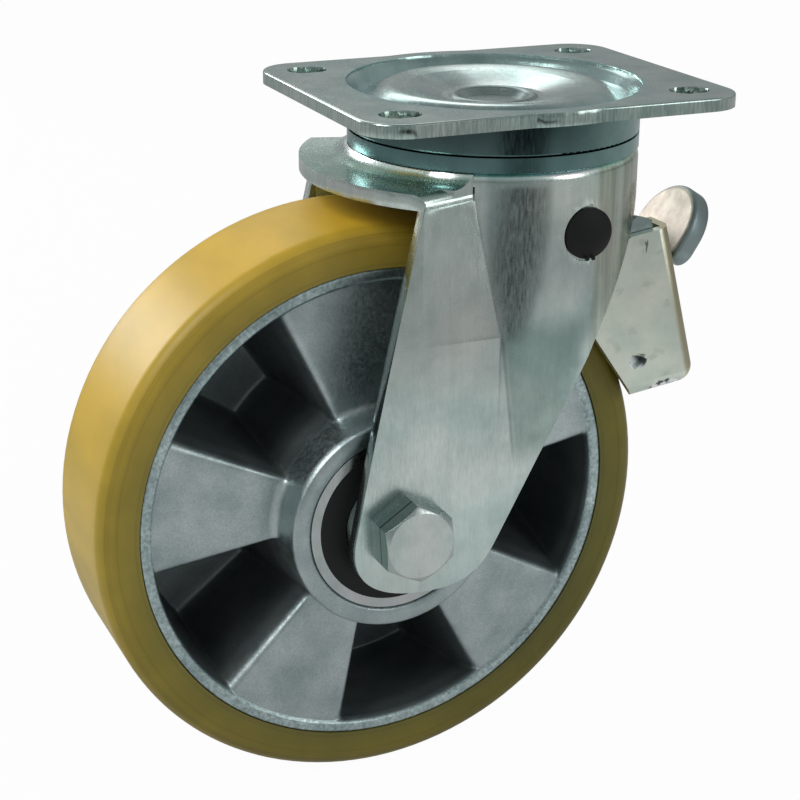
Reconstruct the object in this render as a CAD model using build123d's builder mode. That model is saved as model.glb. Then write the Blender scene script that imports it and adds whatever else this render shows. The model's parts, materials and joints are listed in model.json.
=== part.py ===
from build123d import *
import os
from math import cos, hypot, radians, sin, sqrt, tan

os.makedirs("parts", exist_ok=True)

# Swivel castor for a 200 mm wheel, with a foot brake.
# Frame: origin at the centre of the mounting plate's top face, on the swivel axis, Z up.
# The wheel trails towards -X, the brake leads towards +X, and the axle runs along Y.

# ------------------------------------------------------------------ driving dimensions, mm

# Castor
wheel_gap = 10.0            # between the tread and the crown of the fork
trail = 51.6                # swivel axis to axle

# Mounting plate
plate_x = 135.0
plate_y = 110.0
plate_t = 4.5
plate_corner_r = 14.0
hole_pitch_x = 105.0
hole_pitch_y = 80.0
slot_w = 11.0
slot_len = 14.0

# Bowl pressed into the plate
mouth_r = 50.4
mouth_bend_r = 6.0
ring_bend_r = 3.0
groove_r = 45.6             # valley between the mouth and the ridge
groove_depth = 7.0
ridge_r = 37.5              # ridge that stands over the upper ball race
ridge_depth = 0.6
ridge_bend_r = 8.0
race_drop = 5.9             # plate's top face to the top of the upper race
dish_r = 29.5
dish_depth = 1.8
dish_floor_r = 17.5
dish_floor_depth = 5.2
neck_r = 50.0               # outside of the cup under the plate
neck_depth = 15.3
lip_wall = 6.0
lip_edge_r = 0.8
neck_bend_r = 1.5
plate_edge_r = 0.8

# Swivel head
upper_ball_d = 10.0
upper_ball_count = 20
lower_ball_d = 8.0
lower_ball_r = 26.0         # pitch radius of the lower row
lower_ball_count = 17
race_conformity = 1.05      # race radius over ball radius
race_half_angle = 50.0
rolling_gap = 0.05          # between a ball and its race
king_pin_d = 20.0
king_pin_head_r = 15.0
king_pin_head_t = 5.0
rivet_r = 15.3              # closed head in the plate's dish
rivet_recess_r = 11.7
rivet_recess_depth = 1.8
rivet_crown = 0.6
rivet_seat_slope = 0.75     # countersink under the closed head, depth over width
bush_r = 14.0
lower_race_r = 30.5
lower_race_t = 4.5
seal_gap = 0.3

# Fork, drawn from one sheet
fork_w = 96.0               # over the legs
sheet_t = 5.0
crown_r = 66.5
crown_depth = 25.0          # plate's top face to the crown's top face
collar_r = 50.0
collar_rise = 4.5
collar_bend_r = 3.4
draw_start = 1.0            # straight band under the crown, where the draw of the leg begins
foot_spread = 6.5           # reach of the concave foot beyond the collar
foot_drop = 0.6             # from the collar's top to the top of its foot
foot_hollow = (0.38, 0.28)  # middle of the foot's hollow, share of its reach and height
deck_gap = 0.8              # between the raised deck and the plate's lip
bend_r = 4.5                # outer bend between the crown and a leg
bend_overrun = 0.4          # of that bend beyond the valley's foot
bend_waste_rise = 1.0       # bend's cutter over the crown
valley_x = -27.6            # where the valley in the leg meets the collar
brow_run = 1.6              # from the crown's rim to where the leg's flat face starts
valley_fade_x = -19.6
valley_fade_drop = 50.0     # from the crown to where the valley has run out
bulge = 1.2                 # swell of the leg's front where the valley has run out
bulge_fade_drop = 95.0      # from the crown to where that swell has run out
foot_bulge = 0.1            # swell that is left from there down
lip_drop = 11.5             # from the crown to the skirt's lower edge in front
hub_hole_gap = 3.0          # between the fork's centre hole and the bush

# Outline of a leg. The foot's points are (run, rise) from the axle,
# and those under the crown are (x from the swivel axis, drop from the crown).
foot_back = (-18.9, 1.0)
foot_low = (8.0, -22.3)
foot_front = (32.3, -8.3)
leg_back_bow = 0.7          # bow of the trailing edge, from its chord
flange_low = (16.4, 56.3)
flange_mid = (29.6, 34.0)
flange_end_x = 43.2

# Axle and hub
axle_bolt_d = 16.0
hex_af = 24.0
hex_face_share = 0.96       # flat face of a hexagon over its width across flats
bolt_head_t = 10.0
bolt_head_turn = 33.5
nut_t = 16.0
bolt_end = 3.0              # thread that stands out of the nut
bolt_end_chamfer = 1.2
nut_collar_t = 2.0          # round end of the locking nut
axle_tube_d = 25.0
hub_len = 77.6
hub_wall = 6.7
hub_chamfer = 1.2
hub_foot_r = 3.0
hub_shoulder = 3.0          # step that the bearings butt against
collar_wall = 4.6

# Ball bearing of the wheel
bearing_od = 62.0
bearing_w = 17.0
bearing_recess = 0.8
bearing_ball_d = 11.5
bearing_ball_count = 7
outer_race_depth = 0.95     # from the ring's shoulder to the bottom of its race
inner_race_depth = 2.25
cage_wall = 3.0
seal_t = 1.4
seal_seat = 1.1

# Wheel
wheel_d = 200.0
tread_w = 50.0
tread_t = 14.0
tread_edge_r = 5.5
rim_t = 4.5
rim_chamfer = 0.8
spoke_count = 5
spoke_angle = 27.0          # first spoke of the near side, from +X towards +Z
spoke_sink = 1.0            # spoke's face under the rim's face
pocket_half_angle = 19.0
pocket_floor_half_angle = 12.0
pocket_floor_t = 5.0
pocket_corner_r = 4.0
pocket_floor_corner_r = 3.5
pocket_draft_in = 6.5       # draft of the hub side of a pocket
pocket_draft_out = 3.0

# Brake
pivot_x = 11.4
pivot_drop = 17.6           # from the crown to the brake's pivot
pivot_d = 12.0              # tube that both levers swing on
pivot_bore_d = 8.0
plug_d = 17.2
plug_h = 3.2
plug_edge = 1.2
plug_dome = (0.62, 0.34)     # point on the dome, share of its radius and height
plug_stem = 8.0
plug_seat_gap = 0.8         # flat seat in the leg beyond the plug's rim
spacer_wall = 2.5
housing_w = 63.0
housing_t = 3.0
housing_ear_r = 9.0
housing_bend_r = 5.0
housing_corner_r = 6.0
# points of the housing's side, (run, rise) from the pivot
housing_notch = (20.2, -13.2)
housing_top_back = (27.0, -8.6)
housing_top_front = (43.0, -6.4)
housing_low_front = (58.3, -64.9)
housing_low_back = (31.6, -68.3)
housing_heel = (13.2, -41.6)
housing_swing_room = 4.0    # from the tread to the housing's floor
slot_half_w = 17.5          # slot in the front wall that the pedal works in
slot_rise = -34.4           # bottom of the slot, from the pivot
dimple = ((32.0, -51.6), (35.3, -52.0), (34.8, -54.8), (31.4, -57.4), (28.7, -54.4))
dimple_depth = 1.6
dimple_slope = 25.0
shoe_gap = 2.4              # between the released shoe and the tread
shoe_t = 6.0
shoe_w = 44.0
shoe_low_angle = 22.0       # from +X towards +Z about the axle
shoe_high_angle = 35.0
shoe_rib_t = 5.0
shoe_rib_gap = 16.0
shoe_rib_drop = 6.0         # from the slot to the ribs
cheek_gap = 0.5
cheek_t = 3.0
cheek_ear_r = 8.5
pedal_t = 3.0
# points of the pedal, (run, rise) from the pivot
cheek_notch = (23.1, -8.0)
cheek_top = (31.0, -2.7)
web_top = (35.5, -5.9)
web_bottom = (38.0, -19.4)
arm_end = (55.3, -23.3)
pad_low = (52.8, -24.0)     # lower end of the pad's face
arm_w = 26.0
pad_w = 33.0
pad_rim = 7.0
pad_slope = 57.0
pad_len = 27.0
pad_corner_r = 6.0
pad_edge_r = 2.0
round_end_gap = 0.1         # keeps the pad's two end rounds apart
spring_wire = 2.0
spring_turns = 4
spring_pitch = 1.08         # turn to turn, over the wire
spring_leg = 12.0
spring_gap = 0.6

# Fits
running_fit = 0.05          # radial, where a piece turns on another
assembly_fit = 0.1          # radial, where a piece is pushed on and stays

# ------------------------------------------------------------------ derived places

wheel_r = wheel_d / 2
crown_z = -crown_depth
crown_under_z = crown_z - sheet_t
axle_x = -trail
axle_z = crown_under_z - wheel_gap - wheel_r
pivot_z = crown_z - pivot_drop
axle_axis = Axis((axle_x, 0, axle_z), (0, 1, 0))
axle_section = Plane(origin=(axle_x, 0, axle_z), x_dir=(1, 0, 0), z_dir=(0, 0, 1))
pivot_axis = Axis((pivot_x, 0, pivot_z), (0, 1, 0))
castor_h = wheel_r - axle_z

upper_ball = upper_ball_d / 2
lower_ball = lower_ball_d / 2
upper_race = upper_ball * race_conformity
lower_race_groove = lower_ball * race_conformity
race_half_w = sin(radians(race_half_angle))
race_lift = cos(radians(race_half_angle))

upper_ball_z = -race_drop - rolling_gap - upper_ball
plate_race_z = -race_drop - upper_race
fork_race_z = upper_ball_z - upper_ball - rolling_gap + upper_race
deck_z = fork_race_z - upper_race * race_lift
deck_under_z = deck_z - sheet_t
fork_low_race_z = deck_under_z - lower_race_groove * race_lift
lower_ball_z = fork_low_race_z + lower_race_groove - rolling_gap - lower_ball
low_race_z = lower_ball_z - lower_ball - rolling_gap + lower_race_groove
low_race_face_z = low_race_z - lower_race_groove * race_lift
low_race_bottom_z = low_race_face_z - lower_race_t

dish_floor_z = -dish_floor_depth
dish_under_z = dish_floor_z - plate_t
collar_z = crown_z + collar_rise
lip_in_r = neck_r - lip_wall
deck_r = lip_in_r - deck_gap
king_pin_r = king_pin_d / 2
king_bore_r = king_pin_r + assembly_fit
rivet_seat_z = dish_floor_z - (rivet_r - king_bore_r) * rivet_seat_slope
fork_hole_r = bush_r + hub_hole_gap

leg_y = fork_w / 2
leg_in_y = leg_y - sheet_t
bearing_y = hub_len / 2 - bearing_recess
bearing_r = bearing_od / 2
axle_tube_r = axle_tube_d / 2
hub_r = bearing_r + hub_wall
rim_r = wheel_r - tread_t
rim_in_r = rim_r - rim_t
rim_y = tread_w / 2
spoke_y = rim_y - spoke_sink
spoke_step = 360 / spoke_count


# ------------------------------------------------------------------ mounting plate body

with BuildPart() as top_plate:
    with BuildSketch(Plane.XY.offset(-plate_t)):
        RectangleRounded(plate_x, plate_y, plate_corner_r)
        Circle(mouth_r, mode=Mode.SUBTRACT)
        with GridLocations(hole_pitch_x, hole_pitch_y, 2, 2):
            SlotOverall(slot_len, slot_w, mode=Mode.SUBTRACT)
    extrude(amount=plate_t)
    fillet(top_plate.faces().sort_by(Axis.Z)[-1].outer_wire().edges(), plate_edge_r)
    with BuildSketch(Plane.XZ):
        with BuildLine():
            bowl_edge = (mouth_r + mouth_bend_r, 0)
            FilletPolyline(
                bowl_edge,
                (mouth_r, 0),
                (groove_r, -groove_depth),
                (ridge_r, -ridge_depth),
                (dish_r, -dish_depth),
                (dish_floor_r, dish_floor_z),
                (rivet_r, dish_floor_z),
                radius=[mouth_bend_r, ring_bend_r, ridge_bend_r, ring_bend_r, ring_bend_r],
            )
            race_in = (ridge_r - upper_race * race_half_w, plate_race_z + upper_race * race_lift)
            race_out = (ridge_r + upper_race * race_half_w, plate_race_z + upper_race * race_lift)
            Polyline(
                (rivet_r, dish_floor_z),
                (king_bore_r, rivet_seat_z),
                (king_bore_r, dish_under_z),
                (dish_floor_r, dish_under_z),
                (dish_r, -dish_depth - plate_t),
                race_in,
            )
            ThreePointArc(race_in, (ridge_r, plate_race_z + upper_race), race_out)
            Line(race_out, (lip_in_r, race_out[1]))
            FilletPolyline(
                (lip_in_r, race_out[1]),
                (lip_in_r, -neck_depth),
                (neck_r, -neck_depth),
                (neck_r, -plate_t),
                (bowl_edge[0], -plate_t),
                radius=[lip_edge_r, lip_edge_r, neck_bend_r],
            )
            Line((bowl_edge[0], -plate_t), bowl_edge)
        make_face()
    revolve(axis=Axis.Z)
top_plate.part.label = "top_plate"
export_step(top_plate.part, "parts/top_plate.step")

with BuildPart() as king_pin:
    with BuildSketch(Plane.XZ):
        with BuildLine():
            recess_z = dish_floor_z - rivet_recess_depth
            rivet_mid_r = (rivet_r + rivet_recess_r) / 2
            Polyline(
                (0, recess_z),
                (rivet_recess_r - rivet_recess_depth, recess_z),
                (rivet_recess_r, dish_floor_z - rivet_crown / 2),
            )
            ThreePointArc(
                (rivet_recess_r, dish_floor_z - rivet_crown / 2),
                (rivet_mid_r, dish_floor_z + rivet_crown),
                (rivet_r - assembly_fit, dish_floor_z),
            )
            head_bottom_z = low_race_bottom_z - king_pin_head_t
            Polyline(
                (rivet_r - assembly_fit, dish_floor_z),
                (king_pin_r, rivet_seat_z),
                (king_pin_r, low_race_bottom_z),
                (king_pin_head_r, low_race_bottom_z),
                (king_pin_head_r, head_bottom_z + king_pin_head_t / 3),
                (king_pin_head_r - king_pin_head_t / 3, head_bottom_z),
                (0, head_bottom_z),
                (0, recess_z),
            )
        make_face()
    revolve(axis=Axis.Z)
king_pin.part.label = "king_pin"
export_step(king_pin.part, "parts/king_pin.step")

with BuildPart() as distance_bush:
    with BuildSketch(Plane.XY.offset(low_race_face_z)):
        Circle(bush_r)
        Circle(king_bore_r, mode=Mode.SUBTRACT)
    extrude(amount=dish_under_z - low_race_face_z)
distance_bush.part.label = "distance_bush"
export_step(distance_bush.part, "parts/distance_bush.step")

with BuildPart() as lower_race:
    with BuildSketch(Plane.XZ):
        with BuildLine():
            low_in = (lower_ball_r - lower_race_groove * race_half_w, low_race_face_z)
            low_out = (lower_ball_r + lower_race_groove * race_half_w, low_race_face_z)
            ThreePointArc(low_in, (lower_ball_r, low_race_z - lower_race_groove), low_out)
            Polyline(
                low_out,
                (lower_race_r, low_race_face_z),
                (lower_race_r, low_race_bottom_z),
                (king_bore_r, low_race_bottom_z),
                (king_bore_r, low_race_face_z),
                low_in,
            )
        make_face()
    revolve(axis=Axis.Z)
lower_race.part.label = "lower_race"
export_step(lower_race.part, "parts/lower_race.step")

with BuildPart() as upper_balls:
    with Locations((0, 0, upper_ball_z)):
        with PolarLocations(ridge_r, upper_ball_count):
            Sphere(upper_ball)
upper_balls.part.label = "upper_balls"
export_step(upper_balls.part, "parts/upper_balls.step")

with BuildPart() as lower_balls:
    with Locations((0, 0, lower_ball_z)):
        with PolarLocations(lower_ball_r, lower_ball_count):
            Sphere(lower_ball)
lower_balls.part.label = "lower_balls"
export_step(lower_balls.part, "parts/lower_balls.step")

# ------------------------------------------------------------------ fork body

leg_half = sqrt(crown_r**2 - leg_y**2)
valley_brow = Vector(-leg_half - brow_run, -leg_y)
valley_foot = Vector(valley_x, -sqrt(collar_r**2 - valley_x**2))
valley_wall = (valley_foot - valley_brow).normalized()
fork_back_x = -crown_r - leg_y
valley_fade_z = crown_z - valley_fade_drop
bulge_fade_z = crown_z - bulge_fade_drop


def leg_corners(inset):
    """Top and foot of the valley's wall and the start of the round front, inset from the skin."""
    wall = leg_y - inset
    ring = collar_r - inset
    start = valley_brow + Vector(-valley_wall.Y, valley_wall.X) * inset
    reach = start.dot(valley_wall)
    foot = start + valley_wall * (-reach - sqrt(reach**2 - start.dot(start) + ring**2))
    brow = start - valley_wall * ((start.Y + wall) / valley_wall.Y)
    return brow, foot, Vector(sqrt(ring**2 - wall**2), -wall)


def straight_section(z, inset):
    """Horizontal section of what runs straight down: the flats at the back and the round front."""
    brow, foot, shoulder = leg_corners(inset)
    with BuildSketch(Plane.XY.offset(z), mode=Mode.PRIVATE) as section:
        Circle(collar_r - inset)
        with Locations((collar_r / 2, 0)):
            Rectangle(collar_r, -2 * shoulder.Y, mode=Mode.INTERSECT)
        with Locations(((fork_back_x + brow.X) / 2, 0)):
            Rectangle(brow.X - fork_back_x, -2 * shoulder.Y)
    return section.sketch


def drawn_section(z, inset, swell):
    """Horizontal section of what is drawn in the legs, between the flats and the round front.

    At the crown, where swell is None, each side goes down the valley's wall to the collar's
    circle and round that circle to the front. Lower down the valley has run out, and the front
    of the leg swells out by the given height.
    """
    brow, foot, shoulder = leg_corners(inset)
    with BuildSketch(Plane.XY.offset(z), mode=Mode.PRIVATE) as section:
        with BuildLine():
            if swell is None:
                start = foot
                middle = Vector(0, inset - collar_r)
            else:
                start = Vector(valley_fade_x, shoulder.Y)
                middle = (start + shoulder) / 2 - Vector(0, swell)
            Line((brow.X, brow.Y), (start.X, start.Y))
            ThreePointArc((start.X, start.Y), (middle.X, middle.Y), (shoulder.X, shoulder.Y))
            mirror(about=Plane.XZ)
            Line((brow.X, brow.Y), (brow.X, -brow.Y))
            Line((shoulder.X, shoulder.Y), (shoulder.X, -shoulder.Y))
        make_face()
    return section.sketch


def skirt(top_z, inset):
    """Solid inside the fork's skin, inset from it, from top_z down to the floor."""
    drawn_sections = [
        drawn_section(top_z, inset, None),
        drawn_section(top_z - draw_start, inset, None),
        drawn_section(valley_fade_z, inset, bulge),
        drawn_section(bulge_fade_z, inset, foot_bulge),
        drawn_section(-castor_h, inset, foot_bulge),
    ]
    with BuildPart(mode=Mode.PRIVATE) as body:
        loft(drawn_sections, ruled=True)
        extrude(straight_section(top_z, inset), amount=top_z + castor_h, dir=(0, 0, -1))
    return body.part


with BuildPart() as collar_foot:
    with BuildSketch(Plane.XZ):
        with BuildLine():
            crown_mid_z = crown_z - sheet_t / 2
            foot_r = collar_r + foot_spread
            foot_top_z = collar_z - foot_drop
            hollow_r = collar_r + foot_spread * foot_hollow[0]
            hollow_z = crown_z + (foot_top_z - crown_z) * foot_hollow[1]
            Line((collar_r, foot_top_z), (collar_r, crown_mid_z))
            Line((collar_r, crown_mid_z), (foot_r, crown_mid_z))
            Line((foot_r, crown_mid_z), (foot_r, crown_z))
            ThreePointArc((foot_r, crown_z), (hollow_r, hollow_z), (collar_r, foot_top_z))
        make_face()
    revolve(axis=Axis.Z)
    with BuildSketch(Plane.XY.offset(crown_mid_z)):
        add(straight_section(crown_mid_z, 0))
        add(drawn_section(crown_mid_z, 0, None))
    extrude(amount=collar_z - crown_mid_z, mode=Mode.INTERSECT)

# what the outer bend between the crown and each leg takes away
valley_out = Vector(valley_wall.Y, -valley_wall.X)
bend_start = valley_foot + valley_wall * bend_overrun
with BuildPart() as bend_waste:
    with BuildSketch(Plane((bend_start.X, bend_start.Y, crown_z), valley_out, -valley_wall)):
        with BuildLine():
            RadiusArc((0, -bend_r), (-bend_r, 0), -bend_r)
            Polyline(
                (-bend_r, 0),
                (-bend_r, bend_waste_rise),
                (bend_r, bend_waste_rise),
                (bend_r, -bend_r),
                (0, -bend_r),
            )
        make_face()
    extrude(amount=crown_r)
    mirror(about=Plane.XZ)

with BuildPart() as fork:
    add(skirt(crown_z, 0))
    with BuildSketch(Plane.XZ):
        with BuildLine():
            leg_top = Vector(-leg_half, crown_z)
            back_end = Vector(axle_x + foot_back[0], axle_z + foot_back[1])
            foot_end = Vector(axle_x + foot_low[0], axle_z + foot_low[1])
            front_end = Vector(axle_x + foot_front[0], axle_z + foot_front[1])
            flange_start = Vector(flange_low[0], crown_z - flange_low[1])
            flange_middle = Vector(flange_mid[0], crown_z - flange_mid[1])
            back_middle = (leg_top + back_end) / 2 - Vector(leg_back_bow, 0)
            lip_z = crown_z - lip_drop
            ThreePointArc(leg_top, back_middle, back_end)
            Spline(
                back_end,
                foot_end,
                front_end,
                tangents=[back_end - back_middle, flange_start - front_end],
            )
            Line(front_end, flange_start)
            ThreePointArc(flange_start, flange_middle, (flange_end_x, lip_z))
            Polyline((flange_end_x, lip_z), (crown_r, lip_z), (crown_r, crown_z), leg_top)
        make_face()
    extrude(amount=leg_y + sheet_t, both=True, mode=Mode.INTERSECT)
    with BuildSketch(Plane.XY.offset(crown_under_z)):
        add(straight_section(crown_under_z, 0))
        add(drawn_section(crown_under_z, 0, None))
        Circle(crown_r, mode=Mode.INTERSECT)
        with Locations((valley_x - crown_r, 0)):
            Rectangle(2 * crown_r, 2 * fork_w, mode=Mode.INTERSECT)
    extrude(amount=sheet_t)
    add(bend_waste.part, mode=Mode.SUBTRACT)
    with BuildSketch(Plane.XZ):
        with BuildLine():
            deck_in = (ridge_r - upper_race * race_half_w, deck_z)
            deck_out = (ridge_r + upper_race * race_half_w, deck_z)
            ThreePointArc(deck_in, (ridge_r, fork_race_z - upper_race), deck_out)
            Polyline(deck_out, (deck_r, deck_z), (deck_r, collar_z))
            FilletPolyline(
                (deck_r, collar_z),
                (collar_r, collar_z),
                (collar_r, crown_z),
                radius=collar_bend_r,
            )
            Polyline((collar_r, crown_z), (0, crown_z), (0, deck_z), deck_in)
        make_face()
    revolve(axis=Axis.Z)
    add(collar_foot.part)
    add(skirt(crown_under_z, sheet_t), mode=Mode.SUBTRACT)
    # the raised deck is drawn up from the same sheet, so its underside follows it
    with BuildSketch(Plane.XZ):
        with BuildLine():
            low_race_in = (lower_ball_r - lower_race_groove * race_half_w, deck_under_z)
            low_race_out = (lower_ball_r + lower_race_groove * race_half_w, deck_under_z)
            ring_in_r = collar_r - sheet_t
            ThreePointArc(low_race_in, (lower_ball_r, fork_low_race_z + lower_race_groove), low_race_out)
            Polyline(
                low_race_out,
                (lower_race_r + hub_hole_gap, deck_under_z),
                (ridge_r - sheet_t / 2, fork_race_z - upper_race - sheet_t),
                (ridge_r + sheet_t / 2, fork_race_z - upper_race - sheet_t),
                (ring_in_r, collar_z - sheet_t),
                (ring_in_r, crown_under_z),
                (0, crown_under_z),
                (0, 0),
                (fork_hole_r, 0),
                (fork_hole_r, deck_under_z),
                low_race_in,
            )
        make_face()
    revolve(axis=Axis.Z, mode=Mode.SUBTRACT)
    with BuildSketch(Plane.XZ):
        with Locations((axle_x, axle_z)):
            Circle(axle_bolt_d / 2 + assembly_fit)
        with Locations((pivot_x, pivot_z)):
            Circle(pivot_d / 2 + assembly_fit)
    extrude(amount=fork_w, both=True, mode=Mode.SUBTRACT)
    for side in (1, -1):
        with BuildSketch(Plane.XZ.offset(side * leg_y)):
            with Locations((pivot_x, pivot_z)):
                Circle(plug_d / 2 + plug_seat_gap)
        extrude(amount=side * sheet_t, mode=Mode.SUBTRACT)
fork.part.label = "fork"
export_step(fork.part, "parts/fork.step")

with BuildPart() as swivel_seal:
    with BuildSketch(Plane.XY.offset(collar_z)):
        Circle(neck_r)
        Circle(lip_in_r, mode=Mode.SUBTRACT)
    extrude(amount=-neck_depth - seal_gap - collar_z)
swivel_seal.part.label = "swivel_seal"
export_step(swivel_seal.part, "parts/swivel_seal.step")

# ------------------------------------------------------------------ axle

near_leg_plane = Plane(origin=(axle_x, -leg_y, axle_z), x_dir=(1, 0, 0), z_dir=(0, -1, 0))
far_leg_plane = Plane(origin=(axle_x, leg_y, axle_z), x_dir=(1, 0, 0), z_dir=(0, 1, 0))
axle_bolt_r = axle_bolt_d / 2
axle_hole_r = axle_bolt_r + assembly_fit
hex_r = hex_af / sqrt(3)
hex_face_r = hex_af / 2 * hex_face_share
hex_chamfer = (hex_r - hex_face_r) * tan(radians(30))

with BuildPart() as axle_bolt:
    with BuildSketch(near_leg_plane):
        RegularPolygon(hex_r, 6, rotation=bolt_head_turn)
    extrude(amount=bolt_head_t)
    with BuildSketch(axle_section):
        with BuildLine():
            head_y = -leg_y - bolt_head_t
            Polyline(
                (0, head_y),
                (hex_face_r, head_y),
                (hex_r, head_y + hex_chamfer),
                (hex_r, -leg_y),
                (0, -leg_y),
                (0, head_y),
            )
        make_face()
    revolve(axis=axle_axis, mode=Mode.INTERSECT)
    with BuildSketch(near_leg_plane):
        Circle(axle_bolt_r)
    extrude(amount=-(fork_w + nut_t + bolt_end))
    end_rim = axle_bolt.edges().filter_by(GeomType.CIRCLE).sort_by(Axis.Y)[-1]
    chamfer(end_rim, bolt_end_chamfer)
axle_bolt.part.label = "axle_bolt"
export_step(axle_bolt.part, "parts/axle_bolt.step")

with BuildPart() as axle_nut:
    with BuildSketch(far_leg_plane):
        RegularPolygon(hex_r, 6)
    extrude(amount=nut_t)
    with BuildSketch(axle_section):
        with BuildLine():
            nut_face_y = leg_y + nut_t
            Polyline(
                (axle_hole_r, leg_y),
                (hex_face_r, leg_y),
                (hex_r, leg_y + hex_chamfer),
                (hex_r, nut_face_y - nut_collar_t - hex_chamfer),
                (hex_face_r, nut_face_y - nut_collar_t),
                (hex_face_r - nut_collar_t, nut_face_y),
                (axle_hole_r, nut_face_y),
                (axle_hole_r, leg_y),
            )
        make_face()
    revolve(axis=axle_axis, mode=Mode.INTERSECT)
axle_nut.part.label = "axle_nut"
export_step(axle_nut.part, "parts/axle_nut.step")

with BuildPart() as axle_tube:
    with BuildSketch(Plane.XZ.offset(-leg_in_y)):
        with Locations((axle_x, axle_z)):
            Circle(axle_tube_r)
            Circle(axle_hole_r, mode=Mode.SUBTRACT)
    extrude(amount=2 * leg_in_y)
axle_tube.part.label = "axle_tube"
export_step(axle_tube.part, "parts/axle_tube.step")

spacer_in_r = axle_tube_r + assembly_fit
bearing_in_y = bearing_y - bearing_w
with BuildPart() as hub_spacer:
    with BuildSketch(Plane.XZ.offset(-bearing_in_y)):
        with Locations((axle_x, axle_z)):
            Circle(spacer_in_r + collar_wall)
            Circle(spacer_in_r, mode=Mode.SUBTRACT)
    extrude(amount=2 * bearing_in_y)
hub_spacer.part.label = "hub_spacer"
export_step(hub_spacer.part, "parts/hub_spacer.step")

with BuildPart() as near_axle_collar:
    with BuildSketch(Plane.XZ.offset(bearing_y)):
        with Locations((axle_x, axle_z)):
            Circle(spacer_in_r + collar_wall)
            Circle(spacer_in_r, mode=Mode.SUBTRACT)
    extrude(amount=leg_in_y - bearing_y)
near_axle_collar.part.label = "near_axle_collar"
export_step(near_axle_collar.part, "parts/near_axle_collar.step")

with BuildPart() as far_axle_collar:
    add(near_axle_collar.part)
    mirror(about=Plane.XZ, mode=Mode.REPLACE)
far_axle_collar.part.label = "far_axle_collar"
export_step(far_axle_collar.part, "parts/far_axle_collar.step")

# ------------------------------------------------------------------ wheel bearings

bearing_mid_y = bearing_y - bearing_w / 2
bearing_pitch_r = (bearing_r + axle_tube_r) / 2
bearing_ball = bearing_ball_d / 2
bearing_race = bearing_ball * race_conformity
outer_race_r = bearing_pitch_r + bearing_ball + rolling_gap
inner_race_r = bearing_pitch_r - bearing_ball - rolling_gap
outer_shoulder_r = outer_race_r - outer_race_depth
inner_shoulder_r = inner_race_r + inner_race_depth
outer_race_half = sqrt(bearing_race**2 - (outer_shoulder_r - outer_race_r + bearing_race) ** 2)
inner_race_half = sqrt(bearing_race**2 - (inner_race_r + bearing_race - inner_shoulder_r) ** 2)
seat_r = outer_shoulder_r + seal_seat

for name, mid_y in (("near", -bearing_mid_y), ("far", bearing_mid_y)):
    low_y = mid_y - bearing_w / 2
    high_y = mid_y + bearing_w / 2

    with BuildPart() as outer_ring:
        with BuildSketch(axle_section):
            with BuildLine():
                outer_low = (outer_shoulder_r, mid_y - outer_race_half)
                outer_high = (outer_shoulder_r, mid_y + outer_race_half)
                ThreePointArc(outer_low, (outer_race_r, mid_y), outer_high)
                Polyline(
                    outer_high,
                    (outer_shoulder_r, high_y - seal_t),
                    (seat_r, high_y - seal_t),
                    (seat_r, high_y),
                    (bearing_r, high_y),
                    (bearing_r, low_y),
                    (seat_r, low_y),
                    (seat_r, low_y + seal_t),
                    (outer_shoulder_r, low_y + seal_t),
                    outer_low,
                )
            make_face()
        revolve(axis=axle_axis)
    outer_ring.part.label = f"{name}_outer_ring"
    export_step(outer_ring.part, f"parts/{name}_outer_ring.step")

    with BuildPart() as inner_ring:
        with BuildSketch(axle_section):
            with BuildLine():
                inner_low = (inner_shoulder_r, mid_y - inner_race_half)
                inner_high = (inner_shoulder_r, mid_y + inner_race_half)
                ThreePointArc(inner_low, (inner_race_r, mid_y), inner_high)
                Polyline(
                    inner_high,
                    (inner_shoulder_r, high_y),
                    (spacer_in_r, high_y),
                    (spacer_in_r, low_y),
                    (inner_shoulder_r, low_y),
                    inner_low,
                )
            make_face()
        revolve(axis=axle_axis)
    inner_ring.part.label = f"{name}_inner_ring"
    export_step(inner_ring.part, f"parts/{name}_inner_ring.step")

    with BuildPart() as seals:
        for seal_y in (low_y + seal_t, high_y):
            with BuildSketch(Plane.XZ.offset(-seal_y)):
                with Locations((axle_x, axle_z)):
                    Circle(seat_r)
                    Circle(inner_shoulder_r + seal_gap, mode=Mode.SUBTRACT)
            extrude(amount=seal_t)
    seals.part.label = f"{name}_seals"
    export_step(seals.part, f"parts/{name}_seals.step")

    with BuildPart() as bearing_balls:
        with Locations(Plane(origin=(axle_x, mid_y, axle_z), x_dir=(1, 0, 0), z_dir=(0, -1, 0))):
            with PolarLocations(bearing_pitch_r, bearing_ball_count):
                Sphere(bearing_ball)
    bearing_balls.part.label = f"{name}_bearing_balls"
    export_step(bearing_balls.part, f"parts/{name}_bearing_balls.step")

    with BuildPart() as cage:
        cage_w = bearing_w - 2 * seal_t - 2 * seal_gap
        with BuildSketch(Plane.XZ.offset(-mid_y - cage_w / 2)):
            with Locations((axle_x, axle_z)):
                Circle(bearing_pitch_r + cage_wall / 2)
                Circle(bearing_pitch_r - cage_wall / 2, mode=Mode.SUBTRACT)
        extrude(amount=cage_w)
        with Locations(Plane(origin=(axle_x, mid_y, axle_z), x_dir=(1, 0, 0), z_dir=(0, -1, 0))):
            with PolarLocations(bearing_pitch_r, bearing_ball_count):
                Cylinder(
                    bearing_ball + 2 * rolling_gap,
                    2 * cage_wall,
                    rotation=(0, 90, 0),
                    mode=Mode.SUBTRACT,
                )
    cage.part.label = f"{name}_cage"
    export_step(cage.part, f"parts/{name}_cage.step")

# ------------------------------------------------------------------ wheel


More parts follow.
